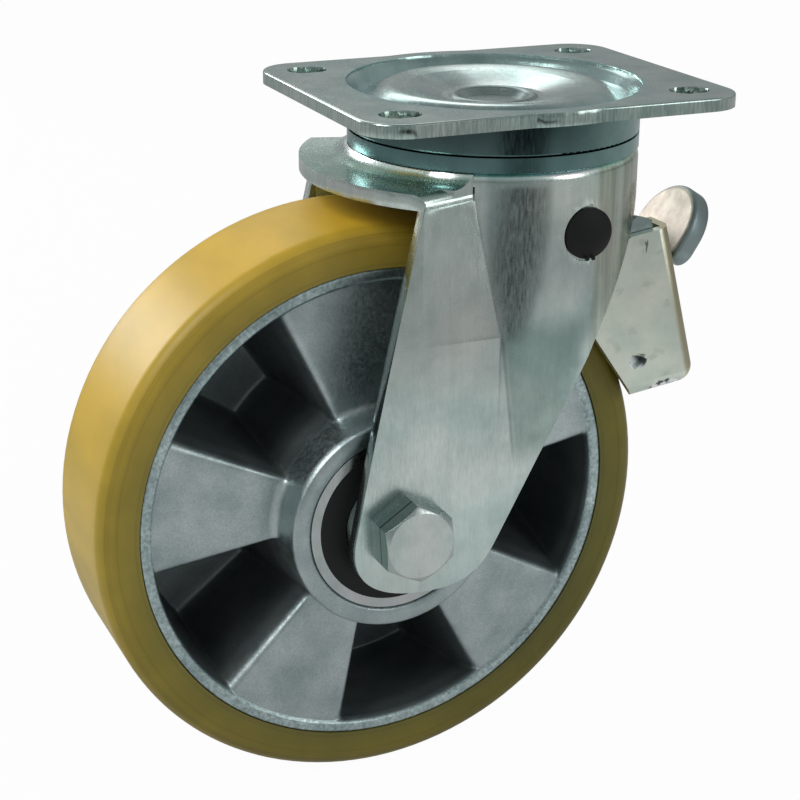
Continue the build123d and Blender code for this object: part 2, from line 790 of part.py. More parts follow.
def pocket_outline(y, inner_r, outer_r, half_angle, corner_r):
    """Ring sector between two spokes, across the wheel's axis at y."""
    face = Plane(origin=(axle_x, y, axle_z), x_dir=(1, 0, 0), z_dir=(0, -1, 0))
    middle = radians(spoke_angle + spoke_step / 2)
    low = middle - radians(half_angle)
    high = middle + radians(half_angle)
    with BuildSketch(face, mode=Mode.PRIVATE) as outline:
        with BuildLine():
            corners = [
                (radius * cos(angle), radius * sin(angle))
                for radius, angle in ((inner_r, low), (outer_r, low), (outer_r, high), (inner_r, high))
            ]
            Line(corners[0], corners[1])
            ThreePointArc(corners[1], (outer_r * cos(middle), outer_r * sin(middle)), corners[2])
            Line(corners[2], corners[3])
            ThreePointArc(corners[3], (inner_r * cos(middle), inner_r * sin(middle)), corners[0])
        make_face()
        fillet(outline.vertices(), corner_r)
    return outline.sketch


pocket_floor_y = spoke_y - pocket_floor_t
with BuildPart() as near_pocket:
    mouth = pocket_outline(-spoke_y, hub_r, rim_in_r, pocket_half_angle, pocket_corner_r)
    floor = pocket_outline(
        pocket_floor_y,
        hub_r + pocket_draft_in,
        rim_in_r - pocket_draft_out,
        pocket_floor_half_angle,
        pocket_floor_corner_r,
    )
    loft([mouth, floor])
    extrude(mouth, amount=2 * spoke_sink)

far_pocket = near_pocket.part.mirror(Plane.XZ).rotate(axle_axis, spoke_step / 2)

with BuildPart() as wheel_centre:
    with BuildSketch(axle_section):
        with BuildLine():
            hub_y = hub_len / 2
            Polyline(
                (bearing_r - hub_shoulder, 0),
                (bearing_r - hub_shoulder, bearing_in_y),
                (bearing_r, bearing_in_y),
                (bearing_r, hub_y - hub_chamfer),
                (bearing_r + hub_chamfer, hub_y),
                (hub_r - hub_chamfer, hub_y),
                (hub_r, hub_y - hub_chamfer),
            )
            FilletPolyline(
                (hub_r, hub_y - hub_chamfer),
                (hub_r, spoke_y),
                (rim_in_r, spoke_y),
                radius=hub_foot_r,
            )
            Polyline(
                (rim_in_r, spoke_y),
                (rim_in_r + rim_chamfer, rim_y),
                (rim_r - rim_chamfer, rim_y),
                (rim_r, rim_y - rim_chamfer),
                (rim_r, 0),
            )
            mirror(about=Plane.XZ)
        make_face()
    revolve(axis=axle_axis)
    for spoke in range(spoke_count):
        add(near_pocket.part.rotate(axle_axis, spoke * spoke_step), mode=Mode.SUBTRACT)
        add(far_pocket.rotate(axle_axis, spoke * spoke_step), mode=Mode.SUBTRACT)
wheel_centre.part.label = "wheel_centre"
export_step(wheel_centre.part, "parts/wheel_centre.step")

with BuildPart() as tread:
    with BuildSketch(axle_section):
        with BuildLine():
            FilletPolyline(
                (rim_r, -rim_y),
                (wheel_r, -rim_y),
                (wheel_r, rim_y),
                (rim_r, rim_y),
                radius=tread_edge_r,
            )
            Line((rim_r, rim_y), (rim_r, -rim_y))
        make_face()
    revolve(axis=axle_axis)
tread.part.label = "tread"
export_step(tread.part, "parts/tread.step")

# ------------------------------------------------------------------ brake pivot

pivot_r = pivot_d / 2
pivot_hole_r = pivot_r + assembly_fit
pivot_turn_r = pivot_r + running_fit
spacer_r = pivot_hole_r + spacer_wall
housing_y = housing_w / 2
housing_in_y = housing_y - housing_t
spacer_end_y = sqrt((collar_r - sheet_t) ** 2 - (pivot_x + spacer_r) ** 2) - seal_gap
near_pivot_plane = Plane(origin=(pivot_x, -leg_y, pivot_z), x_dir=(1, 0, 0), z_dir=(0, -1, 0))
pivot_section = Plane(origin=(pivot_x, 0, pivot_z), x_dir=(1, 0, 0), z_dir=(0, 0, 1))

with BuildPart() as pivot_tube:
    with BuildSketch(near_pivot_plane):
        Circle(pivot_r)
        Circle(pivot_bore_d / 2, mode=Mode.SUBTRACT)
    extrude(amount=-fork_w)
pivot_tube.part.label = "pivot_tube"
export_step(pivot_tube.part, "parts/pivot_tube.step")

with BuildPart() as near_plug:
    with BuildSketch(pivot_section):
        with BuildLine():
            plug_r = plug_d / 2
            stem_r = pivot_bore_d / 2 - running_fit
            ThreePointArc(
                (0, -leg_y - plug_h),
                (plug_r * plug_dome[0], -leg_y - plug_h + (plug_h - plug_edge) * plug_dome[1]),
                (plug_r, -leg_y - plug_edge),
            )
            Polyline(
                (plug_r, -leg_y - plug_edge),
                (plug_r, -leg_y),
                (stem_r, -leg_y),
                (stem_r, -leg_y + plug_stem),
                (0, -leg_y + plug_stem),
                (0, -leg_y - plug_h),
            )
        make_face()
    revolve(axis=pivot_axis)
near_plug.part.label = "near_plug"
export_step(near_plug.part, "parts/near_plug.step")

with BuildPart() as far_plug:
    add(near_plug.part)
    mirror(about=Plane.XZ, mode=Mode.REPLACE)
far_plug.part.label = "far_plug"
export_step(far_plug.part, "parts/far_plug.step")

with BuildPart() as near_spacer:
    with BuildSketch(Plane.XZ.offset(housing_y + seal_gap)):
        with Locations((pivot_x, pivot_z)):
            Circle(spacer_r)
            Circle(pivot_hole_r, mode=Mode.SUBTRACT)
    extrude(amount=spacer_end_y - housing_y - seal_gap)
near_spacer.part.label = "near_spacer"
export_step(near_spacer.part, "parts/near_spacer.step")

with BuildPart() as far_spacer:
    add(near_spacer.part)
    mirror(about=Plane.XZ, mode=Mode.REPLACE)
far_spacer.part.label = "far_spacer"
export_step(far_spacer.part, "parts/far_spacer.step")

# ------------------------------------------------------------------ brake housing and shoe

def ear_point(radius, angle):
    """Point at an angle on a circle round the brake's pivot."""
    return (pivot_x + radius * cos(radians(angle)), pivot_z + radius * sin(radians(angle)))


def from_pivot(point):
    """Point given by its run and rise from the brake's pivot."""
    return Vector(pivot_x + point[0], pivot_z + point[1])


top_front = from_pivot(housing_top_front)
low_front = from_pivot(housing_low_front)
low_back = from_pivot(housing_low_back)
front_dir = (low_front - top_front).normalized()
floor_dir = (low_back - low_front).normalized()
slot_z = pivot_z + slot_rise


with BuildPart() as housing_space:
    with BuildSketch(Plane.XZ):
        with BuildLine():
            into_front = Vector(front_dir.Y, -front_dir.X) * housing_t
            into_floor = Vector(floor_dir.Y, -floor_dir.X) * housing_t
            front_start = top_front + into_front
            floor_start = low_back + into_floor
            gap_vector = floor_start - front_start
            cross = front_dir.X * floor_dir.Y - front_dir.Y * floor_dir.X
            along = (gap_vector.X * floor_dir.Y - gap_vector.Y * floor_dir.X) / cross
            inner_corner = front_start + front_dir * along
            inner_top = front_start - front_dir * housing_w
            inner_back = inner_corner + floor_dir * 2 * housing_w
            Polyline(
                (inner_top.X, inner_top.Y),
                (inner_corner.X, inner_corner.Y),
                (inner_back.X, inner_back.Y),
                (inner_back.X, inner_top.Y),
                (inner_top.X, inner_top.Y),
            )
        make_face()
    extrude(amount=housing_in_y, both=True)
    corner_edges = housing_space.edges().filter_by(GeomType.LINE).filter_by(
        lambda edge: edge.center().X > inner_corner.X - 1 and edge.center().Z < inner_corner.Y + 1
    )
    fillet(corner_edges, housing_corner_r - housing_t)
    with BuildSketch(Plane.XZ):
        with Locations((axle_x, axle_z)):
            Circle(wheel_r + housing_swing_room)
    extrude(amount=housing_in_y, both=True)
    with BuildSketch(Plane.YZ):
        with Locations((0, slot_z + housing_w)):
            RectangleRounded(2 * slot_half_w, 2 * housing_w, pad_corner_r)
    extrude(amount=2 * housing_w)

with BuildPart() as brake_housing:
    with BuildSketch(Plane.XZ) as housing_side:
        with BuildLine():
            ear_top = ear_point(housing_ear_r, 45)
            ear_back = ear_point(housing_ear_r, 209)
            Polyline(
                ear_top,
                from_pivot(housing_notch),
                from_pivot(housing_top_back),
                top_front,
                low_front,
                low_back,
                from_pivot(housing_heel),
                ear_back,
            )
            ThreePointArc(ear_back, ear_point(housing_ear_r, 127), ear_top)
        make_face()
        front_corner = housing_side.vertices().sort_by(Axis.X)[-1]
        fillet(front_corner, housing_corner_r)
    extrude(amount=housing_y, both=True)
    bend_edges = (
        brake_housing.edges()
        .filter_by(lambda edge: abs(edge.center().Y) > housing_in_y)
        .filter_by(lambda edge: edge.center().X > (low_back.X + low_front.X) / 2)
        .filter_by(lambda edge: edge.center().Z < top_front.Y - housing_t)
    )
    fillet(bend_edges, housing_bend_r)
    add(housing_space.part, mode=Mode.SUBTRACT)
    with BuildSketch(Plane.XZ):
        with Locations((pivot_x, pivot_z)):
            Circle(pivot_turn_r)
    extrude(amount=housing_w, both=True, mode=Mode.SUBTRACT)
    for side in (1, -1):
        with BuildSketch(Plane.XZ.offset(side * housing_y)):
            with BuildLine():
                Polyline(*[from_pivot(point) for point in dimple], close=True)
            make_face()
        extrude(amount=-side * dimple_depth, taper=dimple_slope, mode=Mode.SUBTRACT)
brake_housing.part.label = "brake_housing"
export_step(brake_housing.part, "parts/brake_housing.step")

with BuildPart() as brake_shoe:
    with BuildSketch(Plane.XZ):
        with BuildLine():
            shoe_face_r = wheel_r + shoe_gap
            shoe_back_r = shoe_face_r + shoe_t
            middle_angle = (shoe_low_angle + shoe_high_angle) / 2
            shoe_points = [
                (axle_x + radius * cos(radians(angle)), axle_z + radius * sin(radians(angle)))
                for radius, angle in (
                    (shoe_face_r, shoe_low_angle),
                    (shoe_face_r, middle_angle),
                    (shoe_face_r, shoe_high_angle),
                    (shoe_back_r, shoe_high_angle),
                    (shoe_back_r, middle_angle),
                    (shoe_back_r, shoe_low_angle),
                )
            ]
            ThreePointArc(*shoe_points[:3])
            Line(shoe_points[2], shoe_points[3])
            ThreePointArc(*shoe_points[3:])
            Line(shoe_points[5], shoe_points[0])
        make_face()
    extrude(amount=shoe_w / 2, both=True)
    for rib_y in (-shoe_rib_gap / 2 - shoe_rib_t, shoe_rib_gap / 2):
        with BuildSketch(Plane.XZ.offset(-rib_y)):
            with BuildLine():
                rib_front = front_start + Vector(front_dir.Y, -front_dir.X) * running_fit
                rib_top = rib_front + front_dir * ((slot_z - shoe_rib_drop - rib_front.Y) / front_dir.Y)
                rib_low = rib_front + front_dir * (along - housing_corner_r)
                Polyline(
                    (rib_top.X, rib_top.Y),
                    (rib_low.X, rib_low.Y),
                    shoe_points[5],
                    shoe_points[4],
                    (shoe_points[4][0], rib_top.Y),
                    (rib_top.X, rib_top.Y),
                )
            make_face()
        extrude(amount=-shoe_rib_t)
    with BuildSketch(Plane.XZ):
        with Locations((axle_x, axle_z)):
            Circle(shoe_face_r)
    extrude(amount=shoe_w, both=True, mode=Mode.SUBTRACT)
brake_shoe.part.label = "brake_shoe"
export_step(brake_shoe.part, "parts/brake_shoe.step")

# ------------------------------------------------------------------ pedal

cheek_y = housing_in_y - cheek_gap
cheek_in_y = cheek_y - cheek_t
arm_corner = from_pivot(web_bottom)
pad_foot = from_pivot(pad_low)
pad_face = Plane(
    origin=(pad_foot.X, 0, pad_foot.Y),
    x_dir=(0, -1, 0),
    z_dir=(-sin(radians(pad_slope)), 0, cos(radians(pad_slope))),
)

with BuildPart() as pad_hollow:
    with BuildSketch(pad_face.offset(-pedal_t)):
        with Locations((0, pad_len / 2)):
            hollow = Rectangle(pad_w - 2 * pedal_t, pad_len - 2 * pedal_t)
        fillet(hollow.vertices().sort_by(Axis.Y)[-2:], pad_w / 2 - pedal_t - round_end_gap)
    extrude(amount=-pad_rim)

with BuildPart() as pedal:
    with BuildSketch(pad_face) as pad_outline:
        with Locations((0, pad_len / 2)):
            Rectangle(pad_w, pad_len)
        fillet(pad_outline.vertices().sort_by(Axis.Y)[:2], pad_corner_r)
        fillet(pad_outline.vertices().sort_by(Axis.Y)[-2:], pad_w / 2 - round_end_gap)
    extrude(amount=-pad_rim)
    fillet(pedal.faces().sort_by(Axis(pad_face.origin, pad_face.z_dir))[-1].edges(), pad_edge_r)
    add(pad_hollow.part, mode=Mode.SUBTRACT)
    with BuildSketch(Plane.XZ):
        with BuildLine():
            FilletPolyline(from_pivot(web_top), arm_corner, from_pivot(arm_end), radius=2 * pedal_t)
        trace(line_width=pedal_t)
    extrude(amount=arm_w / 2, both=True)
    with BuildSketch(Plane.XZ):
        with BuildLine():
            Line(from_pivot(web_top), arm_corner)
        trace(line_width=pedal_t)
    extrude(amount=cheek_in_y, both=True)
    for side in (1, -1):
        with BuildSketch(Plane.XZ.offset(side * cheek_in_y)):
            with BuildLine():
                Polyline(
                    ear_point(cheek_ear_r, 60),
                    from_pivot(cheek_notch),
                    from_pivot(cheek_top),
                    from_pivot(web_top) + Vector(pedal_t / 2, pedal_t / 2),
                    arm_corner + Vector(pedal_t / 2, 0),
                    arm_corner - Vector(pedal_t, pedal_t / 2),
                    ear_point(cheek_ear_r, 250),
                )
                ThreePointArc(
                    ear_point(cheek_ear_r, 250),
                    ear_point(cheek_ear_r, 155),
                    ear_point(cheek_ear_r, 60),
                )
            make_face()
        extrude(amount=side * cheek_t)
    with BuildSketch(Plane.XZ):
        with Locations((pivot_x, pivot_z)):
            Circle(pivot_turn_r)
    extrude(amount=housing_w, both=True, mode=Mode.SUBTRACT)
pedal.part.label = "pedal"
export_step(pedal.part, "parts/pedal.step")

with BuildPart() as return_spring:
    coil_r = pivot_r + spring_gap + spring_wire / 2
    coil_pitch = spring_wire * spring_pitch
    coil_y = cheek_in_y - spring_wire / 2 - seal_gap
    coil_len = coil_pitch * spring_turns
    with BuildLine():
        coil_start = (pivot_x, coil_y, pivot_z)
        coil = Helix(coil_pitch, coil_len, coil_r, center=coil_start, direction=(0, -1, 0))
    with BuildSketch(Plane(origin=coil @ 0, z_dir=coil % 0)):
        RegularPolygon(spring_wire / 2, 6)
    sweep()
    for coil_end, leg_dir in ((coil @ 0, -(coil % 0)), (coil @ 1, coil % 1)):
        with BuildSketch(Plane(origin=coil_end, z_dir=leg_dir)):
            RegularPolygon(spring_wire / 2, 6)
        extrude(amount=spring_leg)
return_spring.part.label = "return_spring"
export_step(return_spring.part, "parts/return_spring.step")
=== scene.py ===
import json
from math import cos, radians, sin

import bpy
import numpy as np
from mathutils import Matrix, Vector


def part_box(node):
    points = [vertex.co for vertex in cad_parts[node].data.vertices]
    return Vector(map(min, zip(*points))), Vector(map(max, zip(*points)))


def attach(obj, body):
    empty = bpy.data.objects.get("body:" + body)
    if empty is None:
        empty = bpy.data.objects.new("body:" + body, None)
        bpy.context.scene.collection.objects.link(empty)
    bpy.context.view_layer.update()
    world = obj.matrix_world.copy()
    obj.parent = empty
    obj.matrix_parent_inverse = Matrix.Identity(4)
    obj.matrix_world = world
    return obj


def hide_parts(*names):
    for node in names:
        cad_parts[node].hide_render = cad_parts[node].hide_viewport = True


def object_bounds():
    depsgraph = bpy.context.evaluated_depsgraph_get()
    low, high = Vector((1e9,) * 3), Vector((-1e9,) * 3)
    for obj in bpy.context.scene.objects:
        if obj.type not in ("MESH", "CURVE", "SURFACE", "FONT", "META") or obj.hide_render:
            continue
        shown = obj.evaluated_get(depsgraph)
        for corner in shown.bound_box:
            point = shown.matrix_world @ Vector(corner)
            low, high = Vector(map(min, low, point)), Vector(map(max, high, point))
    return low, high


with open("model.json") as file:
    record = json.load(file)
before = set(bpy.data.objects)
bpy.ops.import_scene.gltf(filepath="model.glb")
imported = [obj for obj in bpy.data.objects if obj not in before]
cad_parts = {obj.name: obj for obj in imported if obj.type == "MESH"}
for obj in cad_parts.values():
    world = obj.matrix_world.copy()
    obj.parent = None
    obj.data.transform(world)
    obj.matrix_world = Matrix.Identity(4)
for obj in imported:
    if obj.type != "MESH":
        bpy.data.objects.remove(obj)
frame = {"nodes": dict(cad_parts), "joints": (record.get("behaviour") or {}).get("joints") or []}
cad_low, cad_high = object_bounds()
nodes = frame["nodes"]

# ---------------------------------------------------------------- camera
# The castor stands on a studio floor, wheel trailing to the left and brake to the right.
# The camera looks down on it from the near side through a long lens.

VIEW_FROM = Vector((-0.286764, -0.565599, 0.121190))
VIEW_HEADING = radians(24.0918)
VIEW_DROP = radians(20.5701)
VIEW_ROLL = radians(0.5041)
LENS_MM = 84.199
SENSOR_MM = 36
SEES_FROM = 0.01
SEES_TO = 20

look = Vector((
    sin(VIEW_HEADING) * cos(VIEW_DROP),
    cos(VIEW_HEADING) * cos(VIEW_DROP),
    -sin(VIEW_DROP),
))
level = Vector((cos(VIEW_HEADING), -sin(VIEW_HEADING), 0))
upright = level.cross(look)
side = level * cos(VIEW_ROLL) + upright * sin(VIEW_ROLL)
top = upright * cos(VIEW_ROLL) - level * sin(VIEW_ROLL)

camera_data = bpy.data.cameras.new("camera")
camera_data.lens = LENS_MM
camera_data.sensor_width = SENSOR_MM
camera_data.clip_start = SEES_FROM
camera_data.clip_end = SEES_TO
camera = bpy.data.objects.new("camera", camera_data)
camera.matrix_world = Matrix((
    (side.x, top.x, -look.x, VIEW_FROM.x),
    (side.y, top.y, -look.y, VIEW_FROM.y),
    (side.z, top.z, -look.z, VIEW_FROM.z),
    (0, 0, 0, 1),
))
bpy.context.scene.collection.objects.link(camera)
bpy.context.scene.camera = camera
bpy.context.scene.view_settings.view_transform = "Standard"

# ---------------------------------------------------------------- floor
# A wide sheet of white studio board. To glossy rays it glows with painted light, bright round
# the castor and grey further out, with a painted dark patch on the camera's side that bright
# metal reflects as dark bands.

FLOOR_Z = cad_low.z
FLOOR_HALF = 6.0
BOARD = (0.62, 0.62, 0.62)
WHITE = (1.0, 1.0, 1.0)
BOARD_GLOW = 0.97
LIT_MIDDLE = (-0.05, 0.0)
LIT_RINGS = ((0.06, 0.50), (0.20, 0.62), (0.36, 0.82), (0.47, 0.60), (0.58, 0.42), (0.90, 0.45))
REFLECTED_SHADE_AT = (-0.04, -0.79)
REFLECTED_SHADE_HALF = (0.27, 0.28)
REFLECTED_SHADE_SOFT = 0.16
REFLECTED_SHADE_TONES = ((0.0, 1.0), (1.0, 0.02))


class Wire:
    """A value in a node tree. Sums, differences and products of wires add math nodes to it."""

    def __init__(self, tree, socket):
        self.tree = tree
        self.socket = socket

    def __add__(self, other):
        return calc(self.tree, "ADD", self, other)

    def __sub__(self, other):
        return calc(self.tree, "SUBTRACT", self, other)

    def __rsub__(self, other):
        return calc(self.tree, "SUBTRACT", other, self)

    def __mul__(self, other):
        return calc(self.tree, "MULTIPLY", self, other)

    def __abs__(self):
        return calc(self.tree, "ABSOLUTE", self)


def feed(socket, value):
    """Joins a wire to a socket, or sets the socket to a number, a colour or a vector."""
    if isinstance(value, Wire):
        value.tree.links.new(value.socket, socket)
    elif socket.type == "RGBA":
        socket.default_value = (*value, 1)
    else:
        socket.default_value = value


def calc(tree, operation, *values):
    """A math node on one or two wires or numbers. Returns its result."""
    node = tree.nodes.new("ShaderNodeMath")
    node.operation = operation
    for socket, value in zip(node.inputs, values):
        feed(socket, value)
    return Wire(tree, node.outputs[0])


def rise(value, span):
    """0 below the span, 1 above it and smooth between."""
    node = value.tree.nodes.new("ShaderNodeMapRange")
    node.interpolation_type = "SMOOTHSTEP"
    feed(node.inputs["Value"], value)
    feed(node.inputs["From Min"], span[0])
    feed(node.inputs["From Max"], span[1])
    return Wire(value.tree, node.outputs[0])


def fall(value, span):
    """1 below the span, 0 above it and smooth between."""
    return 1.0 - rise(value, span)


def ramp(value, stops, start=0.0, end=1.0):
    """A colour along a value. Each stop is its place from 0 at start to 1 at end, and its colour."""
    node = value.tree.nodes.new("ShaderNodeValToRGB")
    elements = node.color_ramp.elements
    while len(elements) < len(stops):
        elements.new(1.0)
    for element, (position, colour) in zip(elements, stops):
        element.position = position
        if isinstance(colour, float):
            colour = (colour, colour, colour)
        element.color = (*colour, 1)
    if (start, end) != (0.0, 1.0):
        value = (value - start) * (1.0 / (end - start))
    feed(node.inputs[0], value)
    return Wire(value.tree, node.outputs[0])


def lay(under, over, share=1.0, blend="MIX"):
    """Lays one colour over another by a share. Returns the new colour."""
    node = under.tree.nodes.new("ShaderNodeMix")
    node.data_type = "RGBA"
    node.blend_type = blend
    feed(node.inputs["Factor"], share)
    feed(node.inputs["A"], under)
    feed(node.inputs["B"], over)
    return Wire(under.tree, node.outputs["Result"])


def tint(under, over, share=1.0):
    """Multiplies one colour by another by a share. Returns the new colour."""
    return lay(under, over, share, "MULTIPLY")


def coordinates(tree, output):
    """The x, y and z of an output of the texture coordinates, as three wires."""
    source = tree.nodes.new("ShaderNodeTexCoord")
    split = tree.nodes.new("ShaderNodeSeparateXYZ")
    tree.links.new(source.outputs[output], split.inputs[0])
    return [Wire(tree, socket) for socket in split.outputs]


def new_group(name, inputs, outputs):
    """A shader node group whose sockets are named, each with its kind, such as Float or Color.

    Returns its tree, its inputs as wires by name, and the sockets of its way out.
    """
    tree = bpy.data.node_groups.new(name, "ShaderNodeTree")
    for socket, kind in inputs.items():
        tree.interface.new_socket(socket, in_out="INPUT", socket_type="NodeSocket" + kind)
    for socket, kind in outputs.items():
        tree.interface.new_socket(socket, in_out="OUTPUT", socket_type="NodeSocket" + kind)
    way_in = tree.nodes.new("NodeGroupInput")
    way_out = tree.nodes.new("NodeGroupOutput")
    wires = {socket: Wire(tree, way_in.outputs[socket]) for socket in inputs}
    return tree, wires, way_out.inputs


def use_group(tree, group, **values):
    """Places a node group in a tree with its own values. Returns its outputs as wires by name."""
    node = tree.nodes.new("ShaderNodeGroup")
    node.node_tree = group
    for name, value in values.items():
        feed(node.inputs[name], value)
    return {socket.name: Wire(tree, socket) for socket in node.outputs}


distance_group, given, way_out = new_group(
    "distance",
    {"across": "Float", "up": "Float", "middle_across": "Float", "middle_up": "Float"},
    {"distance": "Float"},
)
off_across = given["across"] - given["middle_across"]
off_up = given["up"] - given["middle_up"]
feed(way_out["distance"], calc(distance_group, "SQRT", off_across * off_across + off_up * off_up))


def distance(across, up, middle):
    """How far two coordinates are from a middle: the root of the sum of their squares."""
    placed = use_group(across.tree, distance_group, across=across, up=up,
                       middle_across=middle[0], middle_up=middle[1])
    return placed["distance"]


spot_group, given, way_out = new_group(
    "spot",
    {"across": "Float", "up": "Float", "middle_across": "Float", "middle_up": "Float",
     "half_across": "Float", "half_up": "Float", "soft": "Float"},
    {"mask": "Float"},
)
off_across = calc(spot_group, "DIVIDE", given["across"] - given["middle_across"], given["half_across"])
off_up = calc(spot_group, "DIVIDE", given["up"] - given["middle_up"], given["half_up"])
reach = calc(spot_group, "SQRT", off_across * off_across + off_up * off_up)
feed(way_out["mask"], fall(reach, (1.0 - given["soft"], given["soft"] + 1.0)))


def spot(across, up, middle, half, soft=0.35):
    """1 inside an ellipse of two coordinates and 0 outside, with a soft rim."""
    placed = use_group(across.tree, spot_group, across=across, up=up,
                       middle_across=middle[0], middle_up=middle[1],
                       half_across=half[0], half_up=half[1], soft=soft)
    return placed["mask"]


def mix_shaders(tree, share, under, over):
    """A mix of two shader nodes by a share. Returns the mix node."""
    node = tree.nodes.new("ShaderNodeMixShader")
    feed(node.inputs[0], share)
    tree.links.new(under.outputs[0], node.inputs[1])
    tree.links.new(over.outputs[0], node.inputs[2])
    return node


studio_floor = bpy.data.materials.new("studio_floor")
studio_floor.use_nodes = True
tree = studio_floor.node_tree
tree.nodes.clear()
floor_x, floor_y, _ = coordinates(tree, "Object")
# Painted light for glossy rays only: glowing rings round the castor and a painted dark patch where
# nothing stands.
lit = ramp(distance(floor_x, floor_y, LIT_MIDDLE), LIT_RINGS)
reflected_shade = ramp(spot(floor_x, floor_y, REFLECTED_SHADE_AT, REFLECTED_SHADE_HALF, REFLECTED_SHADE_SOFT), REFLECTED_SHADE_TONES)
board = tree.nodes.new("ShaderNodeBsdfDiffuse")
feed(board.inputs["Color"], BOARD)
white_board = tree.nodes.new("ShaderNodeEmission")
feed(white_board.inputs["Color"], WHITE)
mirrored_board = tree.nodes.new("ShaderNodeEmission")
feed(mirrored_board.inputs["Color"], tint(lit, reflected_shade))
ray = tree.nodes.new("ShaderNodeLightPath")
to_camera = Wire(tree, ray.outputs["Is Camera Ray"])
to_shine = Wire(tree, ray.outputs["Is Glossy Ray"])
seen = mix_shaders(tree, to_camera * BOARD_GLOW, board, white_board)
seen = mix_shaders(tree, to_shine, seen, mirrored_board)
output = tree.nodes.new("ShaderNodeOutputMaterial")
tree.links.new(seen.outputs[0], output.inputs["Surface"])

floor_corners = np.array([(-1, -1, 0), (1, -1, 0), (1, 1, 0), (-1, 1, 0)]) * FLOOR_HALF
floor_corners += (0, 0, FLOOR_Z)
floor_mesh = bpy.data.meshes.new("floor")
floor_mesh.from_pydata(floor_corners.tolist(), [], [(0, 1, 2, 3)])
floor_mesh.materials.append(studio_floor)
floor = bpy.data.objects.new("floor", floor_mesh)
bpy.context.scene.collection.objects.link(floor)

# ---------------------------------------------------------------- room and lamps
# A white room that gives a soft grey light from all sides, darker near the floor. Four soft
# boxes stand round the castor: the key on its wheel's side, and fill, rear and back lamps.

ROOM_LIGHT = 0.42
ROOM_TONES = (
    (0.0, (0.55, 0.58, 0.60)),
    (0.25, (0.80, 0.86, 0.86)),
    (0.5, (1.0, 1.0, 1.0)),
    (0.9, (0.62, 0.66, 0.66)),
)
LAMPS_AIM = Vector((-0.04, 0, -0.12))
SOFT_BOXES = {
    "key_lamp": {"at": (-1.1, -0.3, 1.0), "size": (0.7, 0.7), "watts": 11},
    "fill_lamp": {"at": (0.9, -1.2, 0.5), "size": (0.5, 0.8), "watts": 3.5},
    "rear_lamp": {"at": (-0.75, 1.35, 0.36), "size": (0.55, 0.5), "watts": 7},
    "back_lamp": {"at": (0.2, 1.3, 0.9), "size": (1.0, 0.5), "watts": 3},
}

room = bpy.data.worlds.new("studio")
room.use_nodes = True
bpy.context.scene.world = room
tree = room.node_tree
tree.nodes.clear()
*_, heading_z = coordinates(tree, "Generated")
room_light = tree.nodes.new("ShaderNodeBackground")
feed(room_light.inputs["Color"], ramp(heading_z, ROOM_TONES))
feed(room_light.inputs["Strength"], ROOM_LIGHT)
white_wall = tree.nodes.new("ShaderNodeBackground")
feed(white_wall.inputs["Color"], WHITE)
ray = tree.nodes.new("ShaderNodeLightPath")
seen = mix_shaders(tree, Wire(tree, ray.outputs["Is Camera Ray"]), room_light, white_wall)
output = tree.nodes.new("ShaderNodeOutputWorld")
tree.links.new(seen.outputs[0], output.inputs["Surface"])

for name, box in SOFT_BOXES.items():
    lamp_data = bpy.data.lights.new(name, "AREA")
    lamp_data.shape = "RECTANGLE"
    lamp_data.size, lamp_data.size_y = box["size"]
    lamp_data.energy = box["watts"]
    lamp = bpy.data.objects.new(name, lamp_data)
    lamp.location = box["at"]
    lamp.rotation_euler = (LAMPS_AIM - lamp.location).to_track_quat("-Z", "Y").to_euler()
    bpy.context.scene.collection.objects.link(lamp)

# ---------------------------------------------------------------- mounting plate
# Pressed from 5 mm sheet: four slots, a bowl that holds the pin's head and a cup below it.
# Zinc plated, satin and cloudy, with faint rings of colour in the bowl and sheared edges.
# The seal ring under the cup is plated in the same bath. The cup is painted darker up towards
# the plate, as painted shade, and lighter at its front, as a painted reflection.

PLATE_ZINC = {
    "dark": (0.38, 0.47, 0.455),
    "light": (0.56, 0.65, 0.62),
    "roughness": 0.21,
    "grain": 0.006,
}
PIN_AT = (0.0, 0.0)
PLATE_UPRIGHT = (0.3, 0.6)
PLATE_RIM_FROM_PIN = (0.052, 0.054)
PLATE_RIM_HEIGHT = (-0.0049, -0.0046)
SHEAR_LINES = {"scale": 1500, "stretch": (1.0, 1.0, 0.10)}
SHEAR_TONES = ((0.36, (0.66, 0.70, 0.69)), (0.64, (1.02, 1.02, 1.02)))
BOWL_REACH = 0.0588
BOWL_RINGS = (
    (0.0, (1.0, 1.0, 1.0)),
    (0.30, (1.0, 0.93, 0.93)),
    (0.42, (0.96, 1.0, 1.0)),
    (0.62, (1.0, 1.02, 1.0)),
    (0.76, (0.80, 0.97, 1.02)),
    (0.86, (0.86, 1.0, 1.0)),
    (0.93, (1.0, 1.0, 0.98)),
)
CUP_FROM_PIN = (0.0482, 0.0488)
CUP_TOP = (-0.0052, -0.0047)
CUP_FOOT = -0.021
CUP_REACH = 0.0167
CUP_SHADE_TONES = (
    (0.0, (0.36, 0.46, 0.48)),
    (0.30, (0.30, 0.38, 0.40)),
    (0.36, (0.22, 0.27, 0.28)),
    (0.65, (0.17, 0.20, 0.21)),
    (0.95, (0.10, 0.13, 0.14)),
)
CUP_FRONT = (-0.010, 0.045)
CUP_FRONT_LIGHT_SHARE = 0.85
CUP_FRONT_LIGHT = (0.85, 0.90, 0.90)

